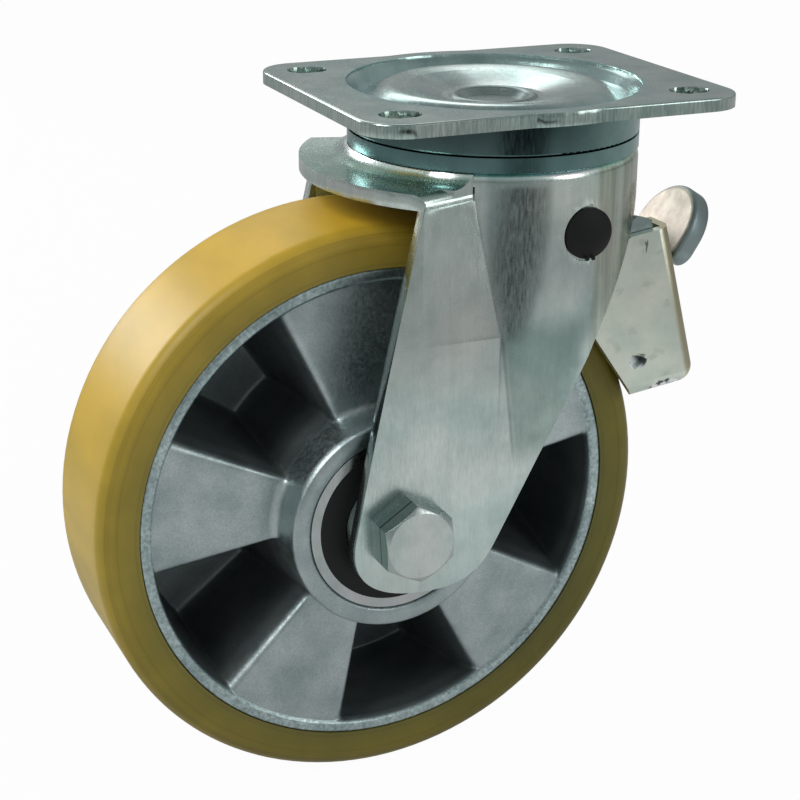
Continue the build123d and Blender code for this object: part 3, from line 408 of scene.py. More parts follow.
speckle_group, given, way_out = new_group(
    "speckle",
    {"scale": "Float", "detail": "Float", "rough": "Float", "stretch": "Vector"},
    {"value": "Float"},
)
source = speckle_group.nodes.new("ShaderNodeTexCoord")
stretched = speckle_group.nodes.new("ShaderNodeMapping")
noise = speckle_group.nodes.new("ShaderNodeTexNoise")
speckle_group.links.new(source.outputs["Object"], stretched.inputs["Vector"])
speckle_group.links.new(stretched.outputs[0], noise.inputs["Vector"])
feed(stretched.inputs["Scale"], given["stretch"])
feed(noise.inputs["Scale"], given["scale"])
feed(noise.inputs["Detail"], given["detail"])
feed(noise.inputs["Roughness"], given["rough"])
feed(way_out["value"], Wire(speckle_group, noise.outputs["Fac"]))


def speckle(tree, scale, stretch=(1.0, 1.0, 1.0), detail=3, rough=0.5):
    """Noise over the piece's own frame, stretched along its axes."""
    placed = use_group(tree, speckle_group, scale=scale, detail=detail, rough=rough, stretch=stretch)
    return placed["value"]


CLOUDS = {"scale": 55, "detail": 5, "rough": 0.6}
CLOUD_SHARE = ((0.34, 0.0), (0.66, 1.0))
BLUSH = {"scale": 28, "detail": 2}
BLUSH_TONES = ((0.38, (0.94, 1.0, 0.99)), (0.5, (1.0, 1.0, 1.0)), (0.66, (1.0, 0.965, 0.965)))
SATIN_GRAIN = {"scale": 1400, "stretch": (1.0, 1.0, 0.18)}
GRAIN_SPAN = (0.25, 0.75)
GRAIN_ROUGHNESS = (-0.06, 0.08)
GRAIN_DEPTH = 0.001

satin_group, given, way_out = new_group(
    "satin_metal",
    {"dark": "Color", "light": "Color", "roughness": "Float"},
    {"colour": "Color", "roughness": "Float", "grain": "Float"},
)
clouds = ramp(speckle(satin_group, **CLOUDS), CLOUD_SHARE)
blush = ramp(speckle(satin_group, **BLUSH), BLUSH_TONES)
satin_grain = speckle(satin_group, **SATIN_GRAIN)
grain_range = satin_group.nodes.new("ShaderNodeMapRange")
feed(grain_range.inputs["Value"], satin_grain)
feed(grain_range.inputs["From Min"], GRAIN_SPAN[0])
feed(grain_range.inputs["From Max"], GRAIN_SPAN[1])
feed(grain_range.inputs["To Min"], GRAIN_ROUGHNESS[0])
feed(grain_range.inputs["To Max"], GRAIN_ROUGHNESS[1])
feed(way_out["colour"], tint(lay(given["dark"], given["light"], clouds), blush))
feed(way_out["roughness"], Wire(satin_group, grain_range.outputs[0]) + given["roughness"])
feed(way_out["grain"], satin_grain)


def new_material(name):
    """A Principled material. Returns it with its node tree and its shader node."""
    material = bpy.data.materials.new(name)
    material.use_nodes = True
    tree = material.node_tree
    tree.nodes.clear()
    output = tree.nodes.new("ShaderNodeOutputMaterial")
    shader = tree.nodes.new("ShaderNodeBsdfPrincipled")
    tree.links.new(shader.outputs[0], output.inputs["Surface"])
    return material, tree, shader


def bumped(shader, height, strength, depth):
    """Gives a shader fine relief from a height wire."""
    bump = height.tree.nodes.new("ShaderNodeBump")
    feed(bump.inputs["Height"], height)
    feed(bump.inputs["Strength"], strength)
    feed(bump.inputs["Distance"], depth)
    height.tree.links.new(bump.outputs[0], shader.inputs["Normal"])


def satin_material(name, dark, light, roughness, grain):
    """A satin metal whose grey wanders in soft clouds between two colours, under a fine grain.

    Returns it with its node tree, its shader and its colour, which marks are laid over.
    """
    material, tree, shader = new_material(name)
    coat = use_group(tree, satin_group, dark=dark, light=light, roughness=roughness)
    feed(shader.inputs["Base Color"], coat["colour"])
    feed(shader.inputs["Roughness"], coat["roughness"])
    feed(shader.inputs["Metallic"], 1.0)
    bumped(shader, coat["grain"], grain, GRAIN_DEPTH)
    return material, tree, shader, coat["colour"]


EDGE_ROUND = 0.0005
EDGE_STEPS = 2
EDGE_ANGLE = radians(35)
WELD_REACH = 0.00001


def round_edges(*names):
    """Joins the faces of the named CAD nodes and rounds their sharp edges by half a millimetre."""
    for name in names:
        weld = nodes[name].modifiers.new("joined_skin", "WELD")
        weld.merge_threshold = WELD_REACH
        rounds = nodes[name].modifiers.new("edge_rounds", "BEVEL")
        rounds.width = EDGE_ROUND
        rounds.segments = EDGE_STEPS
        rounds.limit_method = "ANGLE"
        rounds.angle_limit = EDGE_ANGLE
        rounds.use_clamp_overlap = True
        rounds.harden_normals = True


def dress(material, *names):
    """Puts a material in every slot of the named CAD nodes."""
    for name in names:
        for slot in nodes[name].material_slots:
            slot.material = material


zinc_plate, tree, shader, base = satin_material("zinc_plate", **PLATE_ZINC)
plate_x, plate_y, plate_z = coordinates(tree, "Object")
*_, turn_z = coordinates(tree, "Normal")
from_pin = distance(plate_x, plate_y, PIN_AT)
rim = fall(abs(turn_z), PLATE_UPRIGHT) * rise(plate_z, PLATE_RIM_HEIGHT)
rim = rim * rise(from_pin, PLATE_RIM_FROM_PIN)
base = tint(base, ramp(speckle(tree, **SHEAR_LINES), SHEAR_TONES), rim)
base = tint(base, ramp(from_pin, BOWL_RINGS, 0.0, BOWL_REACH))
# Painted shade: the cup is darker up towards the plate; a painted reflection lightens its front.
cup_light_and_shade = ramp(plate_z, CUP_SHADE_TONES, CUP_FOOT, CUP_FOOT + CUP_REACH)
cup_light_and_shade = lay(cup_light_and_shade, CUP_FRONT_LIGHT, rise(plate_x, CUP_FRONT) * CUP_FRONT_LIGHT_SHARE)
cup = rise(from_pin, CUP_FROM_PIN) * fall(plate_z, CUP_TOP)
base = tint(base, cup_light_and_shade, cup)
feed(shader.inputs["Base Color"], base)

round_edges("top_plate")
dress(zinc_plate, "top_plate", "swivel_seal")

# ---------------------------------------------------------------- pins, bolts and bushes
# The riveted pin and its bush, the axle's bolt, lock nut and collars, the brake's pivot tube,
# shoe and spring. Turned, drawn or bent steel in a brighter, rougher zinc, painted darker on
# faces that don't face along the axle, as painted shade. The bolt's head stands on a second
# hexagon; the thin dark gap between them is painted shade.

BOLT_ZINC = {
    "dark": (0.60, 0.66, 0.64),
    "light": (0.76, 0.82, 0.79),
    "roughness": 0.30,
    "grain": 0.004,
}
BOLT_FACING_SHADE = ((0.25, (0.40, 0.46, 0.46)), (0.6, (0.55, 0.6, 0.6)), (0.96, (0.84, 0.84, 0.84)))
HEAD_GAP_Y = -0.0520
HEAD_GAP_EDGE = (0.00022, 0.00050)
HEAD_GAP_SHARE = 0.9
HEAD_GAP_SHADE = (0.02, 0.025, 0.025)

zinc_bolt, tree, shader, base = satin_material("zinc_bolt", **BOLT_ZINC)
_, bolt_y, _ = coordinates(tree, "Object")
_, turn_y, _ = coordinates(tree, "Normal")
# Painted shade: faces that don't face along the axle are darker.
base = tint(base, ramp(abs(turn_y), BOLT_FACING_SHADE))
# Painted shade: a thin dark line where the bolt's head meets the hexagon below it.
head_gap = fall(abs(bolt_y - HEAD_GAP_Y), HEAD_GAP_EDGE)
base = lay(base, HEAD_GAP_SHADE, head_gap * HEAD_GAP_SHARE)
feed(shader.inputs["Base Color"], base)

round_edges("axle_bolt", "axle_nut")
dress(zinc_bolt, "king_pin", "distance_bush", "axle_bolt", "axle_nut", "near_axle_collar",
      "far_axle_collar", "pivot_tube", "brake_shoe", "return_spring")

# ---------------------------------------------------------------- balls, races and rings
# The two ball rows of the swivel head and the wheel's two ball bearings, with their cages, and
# the ground tube and spacer between them. Hardened steel, left bare.

BARE_STEEL = {
    "dark": (0.40, 0.43, 0.43),
    "light": (0.52, 0.55, 0.55),
    "roughness": 0.25,
    "grain": 0.003,
}

bearing_steel, *_ = satin_material("bearing_steel", **BARE_STEEL)
dress(bearing_steel, "lower_race", "upper_balls", "lower_balls", "axle_tube", "hub_spacer",
      "near_inner_ring", "near_outer_ring", "near_bearing_balls", "near_cage",
      "far_inner_ring", "far_outer_ring", "far_bearing_balls", "far_cage")

# ---------------------------------------------------------------- fork
# Drawn from one 5 mm sheet into a crown, a collar and two legs, then zinc plated. The legs are
# soft where they bend, with a crease beside the valley and brown streaks on the flange that
# turns to the brake. Painted shade darkens the crease line and the valley past it, a painted
# reflection lays a dark band down the collar's side, and painted highlights lighten the
# shoulder, the crown's upward deck and the collar's top edge. Each mark is placed by x and z.

FORK_ZINC = {
    "dark": (0.47, 0.555, 0.535),
    "light": (0.62, 0.71, 0.685),
    "roughness": 0.24,
    "grain": 0.0012,
}
STREAK_STRETCH = (1.0, 1.0, 0.05)
DRAWN_STREAKS = {"scale": 420, "stretch": STREAK_STRETCH, "detail": 4}
DRAWN_TONES = ((0.35, (0.94, 0.95, 0.945)), (0.65, (1.02, 1.01, 1.01)))
CREASE_AT = (-0.0187, -0.076)
CREASE_LEAN = -0.125
CREASE_FOOT = (-0.124, -0.112)
CREASE_HEAD = (-0.078, -0.066)
CREASE_EDGE = (0.0002, 0.0009)
CREASE_SHARE = 0.5
CREASE_SHADE = (0.45, 0.48, 0.48)
VALLEY_BACK = (-0.0012, 0.0022)
VALLEY_FRONT = (0.006, 0.016)
VALLEY_SHADE = (0.60, 0.67, 0.65)
ROSY_HEIGHT = (-0.105, -0.070)
ROSY_EDGE = (-0.002, 0.002)
ROSY_SHARE = 0.8
ROSY_TONE = (1.0, 0.955, 0.945)
SHOULDER_AT = (0.004, -0.025)
SHOULDER_HALF = (0.016, 0.013)
SHOULDER_SOFT = 0.6
SHOULDER_HIGHLIGHT = (1.30, 1.24, 1.20)
FLANGE_BACK = (0.0125, 0.0180)
FLANGE_FOOT = (-0.108, -0.080)
FLANGE_SHARE = 0.85
FLANGE_STREAKS = {"scale": 300, "stretch": STREAK_STRETCH, "detail": 4}
FLANGE_TONES = ((0.38, (0.62, 0.56, 0.46)), (0.62, (0.98, 0.93, 0.84)))
BAND_AT = (-0.0135, -0.030)
BAND_HALF = (0.0105, 0.044)
BAND_SOFT = 0.16
BAND_OUT = (0.030, 0.040)
BAND_SHARE = 0.42
BAND_DARK_REFLECTION = (0.34, 0.42, 0.43)
DECK_UPWARD = (0.6, 0.9)
DECK_TOP = (-0.0236, -0.0222)
DECK_HIGHLIGHT = (1.30, 1.38, 1.34)
BROW_FOOT = (-0.0232, -0.0216)
BROW_UPWARD = (0.10, 0.4)
BROW_HIGHLIGHT = (1.75, 1.8, 1.8)

zinc_fork, tree, shader, base = satin_material("zinc_fork", **FORK_ZINC)
fork_x, fork_y, fork_z = coordinates(tree, "Object")
*_, turn_z = coordinates(tree, "Normal")
base = tint(base, ramp(speckle(tree, **DRAWN_STREAKS), DRAWN_TONES))
past_crease = fork_x - ((fork_z - CREASE_AT[1]) * CREASE_LEAN + CREASE_AT[0])
creased = rise(fork_z, CREASE_FOOT) * fall(fork_z, CREASE_HEAD)
# Painted shade in the valley past the crease and along the crease line.
valley = rise(past_crease, VALLEY_BACK) * creased * fall(fork_x, VALLEY_FRONT)
base = tint(base, VALLEY_SHADE, valley)
crease = fall(abs(past_crease), CREASE_EDGE) * creased
base = tint(base, CREASE_SHADE, crease * CREASE_SHARE)
rosy = rise(fork_z, ROSY_HEIGHT) * fall(past_crease, ROSY_EDGE)
base = tint(base, ROSY_TONE, rosy * ROSY_SHARE)
# Painted highlight on the collar's shoulder.
base = tint(base, SHOULDER_HIGHLIGHT, spot(fork_x, fork_z, SHOULDER_AT, SHOULDER_HALF, SHOULDER_SOFT))
flange = rise(fork_x, FLANGE_BACK) * rise(fork_z, FLANGE_FOOT)
base = tint(base, ramp(speckle(tree, **FLANGE_STREAKS), FLANGE_TONES), flange * FLANGE_SHARE)
# Painted reflection: a dark band down the collar's side.
band = spot(fork_x, fork_z, BAND_AT, BAND_HALF, BAND_SOFT) * rise(abs(fork_y), BAND_OUT)
base = tint(base, BAND_DARK_REFLECTION, band * BAND_SHARE)
# Painted highlights on the crown's upward deck and along the collar's top edge.
deck = rise(turn_z, DECK_UPWARD) * fall(fork_z, DECK_TOP)
base = tint(base, DECK_HIGHLIGHT, deck)
brow = rise(fork_z, BROW_FOOT) * rise(turn_z, BROW_UPWARD)
base = tint(base, BROW_HIGHLIGHT, brow)
feed(shader.inputs["Base Color"], base)

round_edges("fork")
dress(zinc_fork, "fork")

# ---------------------------------------------------------------- wheel centre
# Die cast aluminium. Five deep pockets open to each side, half a step apart, so the spokes of
# one side stand behind the pockets of the other. Their lips and floors are well rounded, and
# the casting's skin is rough, with a brighter, trimmed rim. Painted shade darkens it down the
# pockets.

axle = next(joint for joint in frame["joints"] if joint["name"] == "wheel_spin")["pos_m"]
wheel_low, wheel_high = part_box("wheel_centre")
POCKETS = 5
POCKET_STEP = radians(360 / POCKETS)
HALF_STEP_DEG = 180 / POCKETS
FIRST_SPOKE = radians(27)
RIM_R = (wheel_high.x - wheel_low.x) / 2
RIM_IN_R = 0.0815
RIM_Y = 0.0250
SPOKE_Y = 0.0240
HUB_R = 0.0377
HUB_BORE = 0.0310
HUB_DEPTH = 0.021
HUB_Y = wheel_high.y
HUB_SIDE = 0.008
HUB_ROOT = 0.003
HUB_ROOT_POINTS = 7
CHAMFER = 0.0012
RIM_EDGE = 0.001
TREAD_GAP = 0.00005
SPOKE_RUNS = ((0.0412, 0.0480, 14), (0.0500, 0.0740, 13), (0.0750, 0.0814, 20))
WALLS_FROM_DEG, WALLS_TO_DEG = 10, 26
WALL_STEP_DEG = 0.5
FLAT_STEP_DEG = 2.0
POCKET_DEPTH = 0.0430
POCKET_HALF = radians(19)
HUB_WALL_RUN = 0.0065
RIM_WALL_RUN = 0.0030
SPOKE_WALL_RUN = radians(7)
WALL_BLEND = 7.0
LIP_SOFT = 0.09
FLOOR_BLEND = 14.0
LARGEST_POWER = 60
SAME_R = 1e-6
CAST_CLOUDS = {"scale": 70, "detail": 5}
CAST_TONES = ((0.32, (0.34, 0.415, 0.425)), (0.68, (0.52, 0.595, 0.595)))
CAST_SKIN = {"scale": 700, "detail": 4}
CAST_ROUGHNESS = ((0.3, 0.36), (0.7, 0.50))
CAST_BUMP = 0.12
CAST_BUMP_DEPTH = 0.0006
CAST_HALF_WIDTH = 0.025
POCKET_SHADE_TONES = ((0.0, 0.16), (0.55, 0.24), (0.84, 0.46), (0.955, 1.0))
DEPTH_METAL = ((0.0, 0.35), (0.7, 0.6), (0.955, 1.0))
SPARKLE = {"scale": 2600, "detail": 2}
SPARKLE_TONES = ((0.40, (0.90, 0.90, 0.90)), (0.60, (1.08, 1.08, 1.08)))
RIM_FROM_AXLE = (0.0812, 0.0822)
RIM_OUT = (0.0236, 0.0242)
RIM_MARKS = {"scale": 900, "detail": 5}
RIM_TONES = ((0.34, (0.72, 0.78, 0.78)), (0.5, (1.0, 1.05, 1.05)), (0.68, (1.28, 1.34, 1.34)))


def pocket_depth(radius, angle):
    """Depth of the pocket round angle 0 at each radius and angle, in metres.

    Each wall is a slope s, the distance inside the lip over the wall's run. The least of the
    three, blended as -log(sum of exp(-k s)) / k, says how far the pocket has sunk. The lip is
    rounded by b log(1 + exp(s / b)), and the floor by the same blend with 1, the full depth.
    """
    hub_wall = (radius - HUB_R) / HUB_WALL_RUN
    rim_wall = (RIM_IN_R - radius) / RIM_WALL_RUN
    spoke_wall = (POCKET_HALF - np.abs(angle)) / SPOKE_WALL_RUN
    hub_share = np.exp(-WALL_BLEND * hub_wall)
    rim_share = np.exp(-WALL_BLEND * rim_wall)
    spoke_share = np.exp(-WALL_BLEND * spoke_wall)
    slope = -np.log(hub_share + rim_share + spoke_share) / WALL_BLEND
    sunk = LIP_SOFT * np.log1p(np.exp(np.clip(slope / LIP_SOFT, -LARGEST_POWER, LARGEST_POWER)))
    sunk = -np.log(np.exp(-FLOOR_BLEND * sunk) + np.exp(-FLOOR_BLEND)) / FLOOR_BLEND
    return POCKET_DEPTH * np.clip(sunk, 0, 1)


def wheel_side(profile, angles, shift):
    """Radius and height of one side of the wheel at each profile point and angle.

    The height is the turned profile's less the depth of the pocket that the angle falls in.
    """
    radius = profile[:, 0][:, None]
    from_pocket = (angles[None, :] - FIRST_SPOKE - shift) % POCKET_STEP - POCKET_STEP / 2
    open_here = (radius >= HUB_R - SAME_R) & (radius <= RIM_IN_R + SAME_R)
    height = profile[:, 1][:, None] - np.where(open_here, pocket_depth(radius, from_pocket), 0.0)
    return np.broadcast_to(radius, height.shape), height


def flat_run(start, end, points):
    """Profile points along the spokes' face, from one radius to another."""
    return np.column_stack([np.linspace(start, end, points), np.full(points, SPOKE_Y)])


def closed_grid(name, points, rows, columns):
    """A smooth mesh on a grid of points whose rows and columns both close on themselves."""
    row, column = np.meshgrid(np.arange(rows), np.arange(columns), indexing="ij")
    next_row = (row + 1) % rows
    next_column = (column + 1) % columns
    quads = np.stack([
        row * columns + column,
        row * columns + next_column,
        next_row * columns + next_column,
        next_row * columns + column,
    ], axis=-1).reshape(-1, 4)
    mesh = bpy.data.meshes.new(name)
    mesh.vertices.add(len(points))
    mesh.vertices.foreach_set("co", points.astype(np.float32).ravel())
    mesh.loops.add(quads.size)
    mesh.loops.foreach_set("vertex_index", quads.astype(np.int32).ravel())
    mesh.polygons.add(len(quads))
    mesh.polygons.foreach_set("loop_start", np.arange(0, quads.size, 4, dtype=np.int32))
    mesh.update(calc_edges=True)
    mesh.validate()
    mesh.polygons.foreach_set("use_smooth", np.full(len(mesh.polygons), True))
    return mesh


# The angles of half a step, in degrees, are close together on the walls beside the spokes and
# wide apart on the flats. The same angles follow on in every half step round the wheel.
half_step = np.concatenate([
    np.arange(0, WALLS_FROM_DEG, FLAT_STEP_DEG),
    np.arange(WALLS_FROM_DEG, WALLS_TO_DEG + WALL_STEP_DEG / 2, WALL_STEP_DEG),
    np.arange(WALLS_TO_DEG + FLAT_STEP_DEG, HALF_STEP_DEG, FLAT_STEP_DEG),
])
half_steps = HALF_STEP_DEG * np.arange(2 * POCKETS)
wheel_angles = FIRST_SPOKE + np.radians(half_steps[:, None] + half_step).ravel()

# One side's profile, as radius and height over the wheel's middle: the hub's bore and face, its
# rounded root, the flat of the spokes and the rim.
root_turn = np.linspace(0, np.pi / 2, HUB_ROOT_POINTS)
hub_root = np.column_stack([
    HUB_R + HUB_ROOT * (1 - np.cos(root_turn)),
    SPOKE_Y + HUB_ROOT * (1 - np.sin(root_turn)),
])
hub_face = [
    (HUB_BORE, HUB_DEPTH),
    (HUB_BORE, HUB_Y - CHAMFER),
    (HUB_BORE + CHAMFER / 2, HUB_Y - CHAMFER / 4),
    (HUB_BORE + CHAMFER, HUB_Y),
    (HUB_R - CHAMFER, HUB_Y),
    (HUB_R - CHAMFER / 3, HUB_Y - CHAMFER / 4),
    (HUB_R, HUB_Y - CHAMFER),
    (HUB_R, SPOKE_Y + HUB_SIDE),
]
rim_face = [
    (RIM_IN_R + CHAMFER / 12, SPOKE_Y),
    (RIM_IN_R + CHAMFER * 3 / 4, RIM_Y - CHAMFER / 12),
    (RIM_IN_R + CHAMFER, RIM_Y),
    (RIM_R - CHAMFER, RIM_Y),
    (RIM_R - CHAMFER / 3, RIM_Y - CHAMFER / 6),
    (RIM_R - TREAD_GAP, RIM_Y - RIM_EDGE),
]
side_profile = np.vstack([
    hub_face,
    hub_root,
    *(flat_run(*run) for run in SPOKE_RUNS),
    rim_face,
])
near_r, near_height = wheel_side(side_profile, wheel_angles, 0.0)
far_r, far_height = wheel_side(side_profile, wheel_angles, POCKET_STEP / 2)
ring_r = np.vstack([near_r, far_r[::-1]])
ring_y = np.vstack([-near_height, far_height[::-1]])
wheel_points = np.stack([
    axle[0] + ring_r * np.cos(wheel_angles),
    ring_y,
    axle[2] + ring_r * np.sin(wheel_angles),
], axis=-1).reshape(-1, 3)

cast_aluminium, tree, shader = new_material("cast_aluminium")
cast_x, cast_y, cast_z = coordinates(tree, "Object")
from_middle = abs(cast_y)
base = ramp(speckle(tree, **CAST_CLOUDS), CAST_TONES)
# Painted shade: darker down the pockets, towards the wheel's middle.
base = tint(base, ramp(from_middle, POCKET_SHADE_TONES, 0.0, CAST_HALF_WIDTH))
base = tint(base, ramp(speckle(tree, **SPARKLE), SPARKLE_TONES))
rim = rise(distance(cast_x, cast_z, (axle[0], axle[2])), RIM_FROM_AXLE) * rise(from_middle, RIM_OUT)
base = tint(base, ramp(speckle(tree, **RIM_MARKS), RIM_TONES), rim)
skin = speckle(tree, **CAST_SKIN)
feed(shader.inputs["Base Color"], base)
feed(shader.inputs["Metallic"], ramp(from_middle, DEPTH_METAL, 0.0, CAST_HALF_WIDTH))
feed(shader.inputs["Roughness"], ramp(skin, CAST_ROUGHNESS))
bumped(shader, skin, CAST_BUMP, CAST_BUMP_DEPTH)

wheel_mesh = closed_grid("wheel_cast", wheel_points, *ring_r.shape)
wheel_mesh.materials.append(cast_aluminium)
wheel_cast = bpy.data.objects.new("wheel_cast", wheel_mesh)
bpy.context.scene.collection.objects.link(wheel_cast)
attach(wheel_cast, "wheel")
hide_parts("wheel_centre")
dress(cast_aluminium, "wheel_centre")

# ---------------------------------------------------------------- tread
# Amber polyurethane, cast round the rim and turned. Honey yellow on the band, olive beside
# the rim, with fine turning rings and a seam on the sides. Painted shade darkens it towards the
# floor and on its fork side, and painted light brightens its top.

TREAD_AMBER = (0.60, 0.405, 0.034)
SIDE_OUT = ((0.0185, 0.0), (0.0248, 1.0))
SIDE_FROM_AXLE = 0.084
SIDE_REACH = 0.0167
SIDE_TONES = ((0.0, (0.17, 0.17, 0.065)), (0.22, (0.29, 0.24, 0.050)), (1.0, (0.43, 0.31, 0.040)))
TREAD_FOOT = -0.24
TREAD_REACH = 0.2
HEIGHT_LIGHT_AND_SHADE = ((0.0, (0.50, 0.56, 0.55)), (0.45, (0.85, 0.88, 0.80)), (1.0, (1.15, 1.08, 0.9)))
TURNING_RINGS = {"scale": 420, "detail": 4}
RING_TONES = ((0.34, (0.70, 0.72, 0.72)), (0.46, (1.0, 1.0, 1.0)))
RING_SHARE = 0.55
STAINS = {"scale": 60, "stretch": (1.0, 0.4, 1.0), "detail": 5}
STAIN_TONES = ((0.36, (0.86, 0.86, 0.84)), (0.62, (1.06, 1.03, 1.0)))
STAIN_SHARE = 0.8
SEAM_R = 0.0975
SEAM_EDGE = (0.0001, 0.0005)
SEAM_SHARE = 0.35
SEAM_TONE = (0.45, 0.42, 0.35)
FORK_SIDE = (-0.045, 0.02)
FORK_SIDE_SHARE = 0.60
FORK_SIDE_SHADE = (0.34, 0.46, 0.42)
TREAD_ROUGHNESS = 0.44
TREAD_SHINE = 0.33
TREAD_COAT = 0.12
TREAD_COAT_ROUGHNESS = 0.32
TOOL_MARKS = {"scale": 1600, "detail": 3}
TOOL_BUMP = 0.10
TOOL_DEPTH = 0.0004


def turned_rings(radius, scale, detail):
    """Noise along the distance from the axle, which makes rings."""
    noise = radius.tree.nodes.new("ShaderNodeTexNoise")
    noise.noise_dimensions = "1D"
    feed(noise.inputs["W"], radius)
    feed(noise.inputs["Scale"], scale)
    feed(noise.inputs["Detail"], detail)
    return Wire(radius.tree, noise.outputs["Fac"])


polyurethane, tree, shader = new_material("polyurethane")
tread_x, tread_y, tread_z = coordinates(tree, "Object")
tread_r = distance(tread_x, tread_z, (axle[0], axle[2]))
flat_side = ramp(abs(tread_y), SIDE_OUT)
side_colour = ramp(tread_r, SIDE_TONES, SIDE_FROM_AXLE, SIDE_FROM_AXLE + SIDE_REACH)
base = lay(side_colour, TREAD_AMBER, 1.0 - flat_side)
# Painted shade towards the floor and painted light at the top.
base = tint(base, ramp(tread_z, HEIGHT_LIGHT_AND_SHADE, TREAD_FOOT, TREAD_FOOT + TREAD_REACH))
base = tint(base, ramp(turned_rings(tread_r, **TURNING_RINGS), RING_TONES), flat_side * RING_SHARE)
base = tint(base, ramp(speckle(tree, **STAINS), STAIN_TONES), STAIN_SHARE)
seam = fall(abs(tread_r - SEAM_R), SEAM_EDGE)
base = tint(base, SEAM_TONE, seam * SEAM_SHARE)
# Painted shade on the tread's fork side, under the crown.
base = tint(base, FORK_SIDE_SHADE, rise(tread_x, FORK_SIDE) * FORK_SIDE_SHARE)
feed(shader.inputs["Base Color"], base)
feed(shader.inputs["Roughness"], TREAD_ROUGHNESS)
feed(shader.inputs["Specular IOR Level"], TREAD_SHINE)
feed(shader.inputs["Coat Weight"], TREAD_COAT)
feed(shader.inputs["Coat Roughness"], TREAD_COAT_ROUGHNESS)
bumped(shader, turned_rings(tread_r, **TOOL_MARKS), TOOL_BUMP, TOOL_DEPTH)
dress(polyurethane, "tread")

# ---------------------------------------------------------------- brake housing
# Folded from thin sheet with a softer, yellower zinc, stained brown along its front bend. Its
# lower front corner is crushed, and its side is rubbed and scuffed. The dent there is painted
# light and shade, and the torn edge is painted dark shade and bright glints.

HOUSING_ZINC = {
    "dark": (0.62, 0.69, 0.61),
    "light": (0.80, 0.86, 0.76),
    "roughness": 0.36,
    "grain": 0.008,
}
FRONT_AT = (0.0544, -0.049)
FRONT_LEAN = -0.2615
FRONT_BEND = (-0.0056, -0.0036)
FRONT_FACING = (0.25, 0.75)
BROWN_SHARE = 0.75
BROWN = (0.42, 0.35, 0.19)
SCUFFS = {"scale": 520, "stretch": (1.0, 1.0, 0.22), "detail": 2}
SCUFF_SPAN = (0.60, 0.66)
SCUFF_AT = (0.0452, -0.0580)
SCUFF_HALF = (0.0030, 0.0085)
SCUFF_SHARE = 0.8
SCUFF_TONE = (0.05, 0.06, 0.06)
RUBS = {"scale": 300, "stretch": (0.5, 1.0, 0.8), "detail": 4}
RUB_SPAN = (0.60, 0.74)
RUB_SHARE = 0.22
RUB_TONE = (0.22, 0.26, 0.24)
DENT_AT = (0.0438, -0.0968)
DENT_HALF = (0.0036, 0.0031)
DENT_SOFT = 0.12
DENT_CUT_LEAN = 0.35
DENT_CUT = (-0.0802, -0.0796)
DENT_START = -0.0568
DENT_REACH = 0.00625
DENT_LIGHT_AND_SHADE = (
    (0.0, (0.95, 1.0, 1.0)),
    (0.42, (0.62, 0.70, 0.70)),
    (0.75, (0.10, 0.12, 0.12)),
    (1.0, (0.05, 0.06, 0.06)),
)
TORN_AT = (0.0560, -0.1080)
TORN_HALF = (0.0062, 0.0028)
TORN_SOFT = 0.2
TORN_MARKS = {"scale": 420}
TORN_GLINTS_AND_SHADE = ((0.42, (0.10, 0.12, 0.12)), (0.5, (0.75, 0.82, 0.82)), (0.6, (1.0, 1.0, 1.0)))

zinc_brake, tree, shader, base = satin_material("zinc_brake", **HOUSING_ZINC)
brake_x, _, brake_z = coordinates(tree, "Object")
turn_x, *_ = coordinates(tree, "Normal")
past_front = brake_x - ((brake_z - FRONT_AT[1]) * FRONT_LEAN + FRONT_AT[0])
brown = calc(tree, "MAXIMUM", rise(turn_x, FRONT_FACING), rise(past_front, FRONT_BEND))
base = lay(base, BROWN, brown * BROWN_SHARE)
scuffs = spot(brake_x, brake_z, SCUFF_AT, SCUFF_HALF) * rise(speckle(tree, **SCUFFS), SCUFF_SPAN)
base = lay(base, SCUFF_TONE, scuffs * SCUFF_SHARE)
base = lay(base, RUB_TONE, rise(speckle(tree, **RUBS), RUB_SPAN) * RUB_SHARE)
# Painted light and shade of a dent, from light to dark across it.
dent = spot(brake_x, brake_z, DENT_AT, DENT_HALF, DENT_SOFT)
dent = dent * fall(brake_x * DENT_CUT_LEAN + brake_z, DENT_CUT)
base = lay(base, ramp(brake_x + brake_z, DENT_LIGHT_AND_SHADE, DENT_START, DENT_START + DENT_REACH), dent)
# Torn edge: painted dark shade and bright painted glints of crumpled metal.
torn = spot(brake_x, brake_z, TORN_AT, TORN_HALF, TORN_SOFT)
base = lay(base, ramp(speckle(tree, **TORN_MARKS), TORN_GLINTS_AND_SHADE), torn)
feed(shader.inputs["Base Color"], base)

round_edges("brake_housing")
dress(zinc_brake, "brake_housing")

# ---------------------------------------------------------------- pedal
# A thick pressed tongue for the foot. Its pad has lost its plating and is mottled a warm
# white, while its edge and arm keep their grey zinc.

PEDAL_ZINC = {
    "dark": (0.80, 0.74, 0.66),
    "light": (1.0, 0.95, 0.87),
    "roughness": 0.45,
    "grain": 0.02,
}
PAD_FACING = (-0.8387, 0.5446)
PAD_SPAN = (0.80, 0.97)
PAD_BARE = 0.55
BLOTCHES = {"scale": 190, "detail": 5}
BLOTCH_TONES = ((0.35, (0.78, 0.72, 0.68)), (0.6, (1.0, 0.97, 0.93)))
PEDAL_GREY = (0.30, 0.37, 0.375)

pedal_steel, tree, shader, base = satin_material("pedal_steel", **PEDAL_ZINC)
turn_x, _, turn_z = coordinates(tree, "Normal")
pad = rise(turn_x * PAD_FACING[0] + turn_z * PAD_FACING[1], PAD_SPAN)
base = tint(base, ramp(speckle(tree, **BLOTCHES), BLOTCH_TONES))
base = lay(base, PEDAL_GREY, 1.0 - pad)
feed(shader.inputs["Base Color"], base)
feed(shader.inputs["Metallic"], 1.0 - pad * PAD_BARE)

round_edges("pedal")
dress(pedal_steel, "pedal")

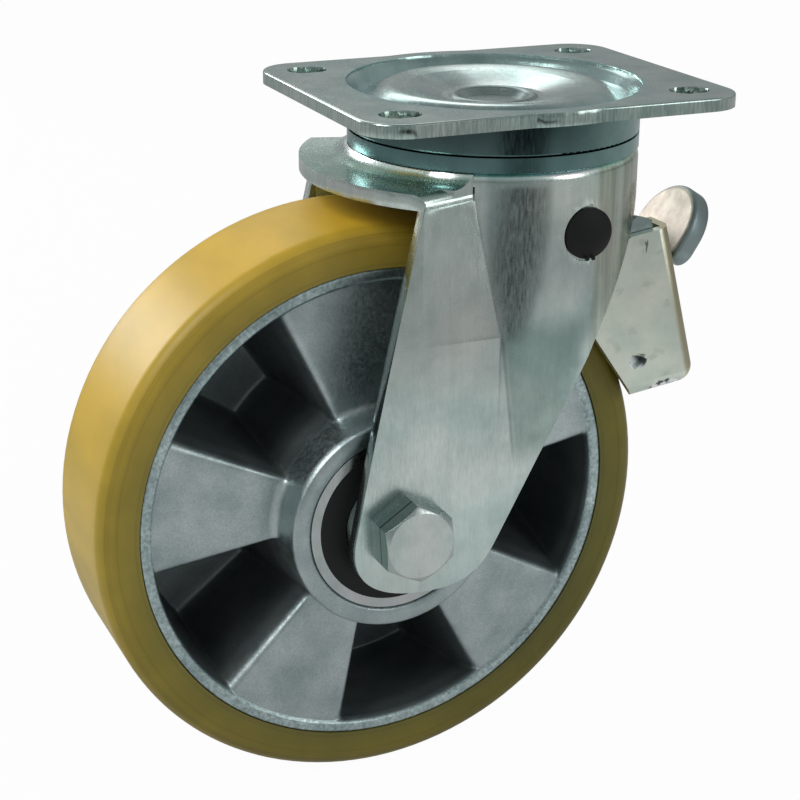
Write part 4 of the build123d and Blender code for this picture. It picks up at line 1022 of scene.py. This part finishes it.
# ---------------------------------------------------------------- plugs, spacers and seals
# Black plastic plugs pressed into the pivot tube's ends, plastic spacers on it, and the rubber
# seals of the wheel's bearings. All matt, with a fine moulded grain.

PLASTIC = {"colour": (0.006, 0.0063, 0.0063), "roughness": 0.6}
RUBBER = {"colour": (0.012, 0.0126, 0.0126), "roughness": 0.5}
BLACK_SHINE = 0.28
MOULD_GRAIN = {"scale": 2400, "detail": 2}
MOULD_BUMP = 0.08
MOULD_DEPTH = 0.0003


def black_material(name, colour, roughness):
    """A matt black with a fine moulded grain."""
    material, tree, shader = new_material(name)
    feed(shader.inputs["Base Color"], colour)
    feed(shader.inputs["Roughness"], roughness)
    feed(shader.inputs["Specular IOR Level"], BLACK_SHINE)
    bumped(shader, speckle(tree, **MOULD_GRAIN), MOULD_BUMP, MOULD_DEPTH)
    return material


black_plastic = black_material("black_plastic", **PLASTIC)
black_rubber = black_material("black_rubber", **RUBBER)
dress(black_plastic, "near_plug", "far_plug", "near_spacer", "far_spacer")
dress(black_rubber, "near_seals", "far_seals")

# ---------------------------------------------------------------- plug burrs
# Two small round stubs of black plastic at the foot of the near plug's rim, where the plug was
# broken off the runner it was moulded on.

BURR_R = 0.0007
BURR_SUNK = 0.3
BURR_Y = 0.0009
BURR_TURNS = np.radians((264, 280))
STUB_RINGS = 5
STUB_SIDES = 12

plug_low, plug_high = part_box("near_plug")
plug_x = (plug_low.x + plug_high.x) / 2
plug_z = (plug_low.z + plug_high.z) / 2
burr_from_middle = (plug_high.z - plug_low.z) / 2 - BURR_SUNK * BURR_R


def ball_mesh(rings, sides):
    """Points and faces of a ball of radius 1, from rings of points and two poles.

    A point is (cos v cos u, cos v sin u, sin v) for its turn u and its rise v. Four-sided faces
    join the rings, and three-sided ones close the poles.
    """
    turn = np.linspace(0, 2 * np.pi, sides, endpoint=False)
    climb = np.linspace(-np.pi / 2, np.pi / 2, rings + 2)[1:-1]
    round_points = np.stack([
        np.outer(np.cos(climb), np.cos(turn)),
        np.outer(np.cos(climb), np.sin(turn)),
        np.outer(np.sin(climb), np.ones_like(turn)),
    ], axis=-1).reshape(-1, 3)
    points = np.vstack([round_points, [[0, 0, -1], [0, 0, 1]]])
    here = np.arange(sides)
    after = (here + 1) % sides
    ring = sides * np.arange(rings - 1)[:, None]
    walls = np.stack([ring + here, ring + after, ring + sides + after, ring + sides + here], axis=-1)
    last = sides * (rings - 1)
    foot_cap = np.stack([np.full(sides, sides * rings), after, here], axis=-1)
    head_cap = np.stack([np.full(sides, sides * rings + 1), last + here, last + after], axis=-1)
    return points, walls.reshape(-1, 4), np.vstack([foot_cap, head_cap])


ball_points, ball_walls, ball_caps = ball_mesh(STUB_RINGS, STUB_SIDES)
burr_middles = np.stack([
    plug_x + burr_from_middle * np.cos(BURR_TURNS),
    np.full(len(BURR_TURNS), plug_low.y + BURR_Y),
    plug_z + burr_from_middle * np.sin(BURR_TURNS),
], axis=-1)
burr_points = (burr_middles[:, None] + ball_points * BURR_R).reshape(-1, 3)
burr_firsts = len(ball_points) * np.arange(len(BURR_TURNS))[:, None, None]
burr_walls = (burr_firsts + ball_walls).reshape(-1, 4)
burr_caps = (burr_firsts + ball_caps).reshape(-1, 3)
burr_mesh = bpy.data.meshes.new("plug_burrs")
burr_mesh.from_pydata(burr_points.tolist(), [], [*burr_walls.tolist(), *burr_caps.tolist()])
burr_mesh.polygons.foreach_set("use_smooth", np.full(len(burr_mesh.polygons), True))
burr_mesh.materials.append(black_plastic)
plug_burrs = bpy.data.objects.new("plug_burrs", burr_mesh)
bpy.context.scene.collection.objects.link(plug_burrs)
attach(plug_burrs, "fork_body")
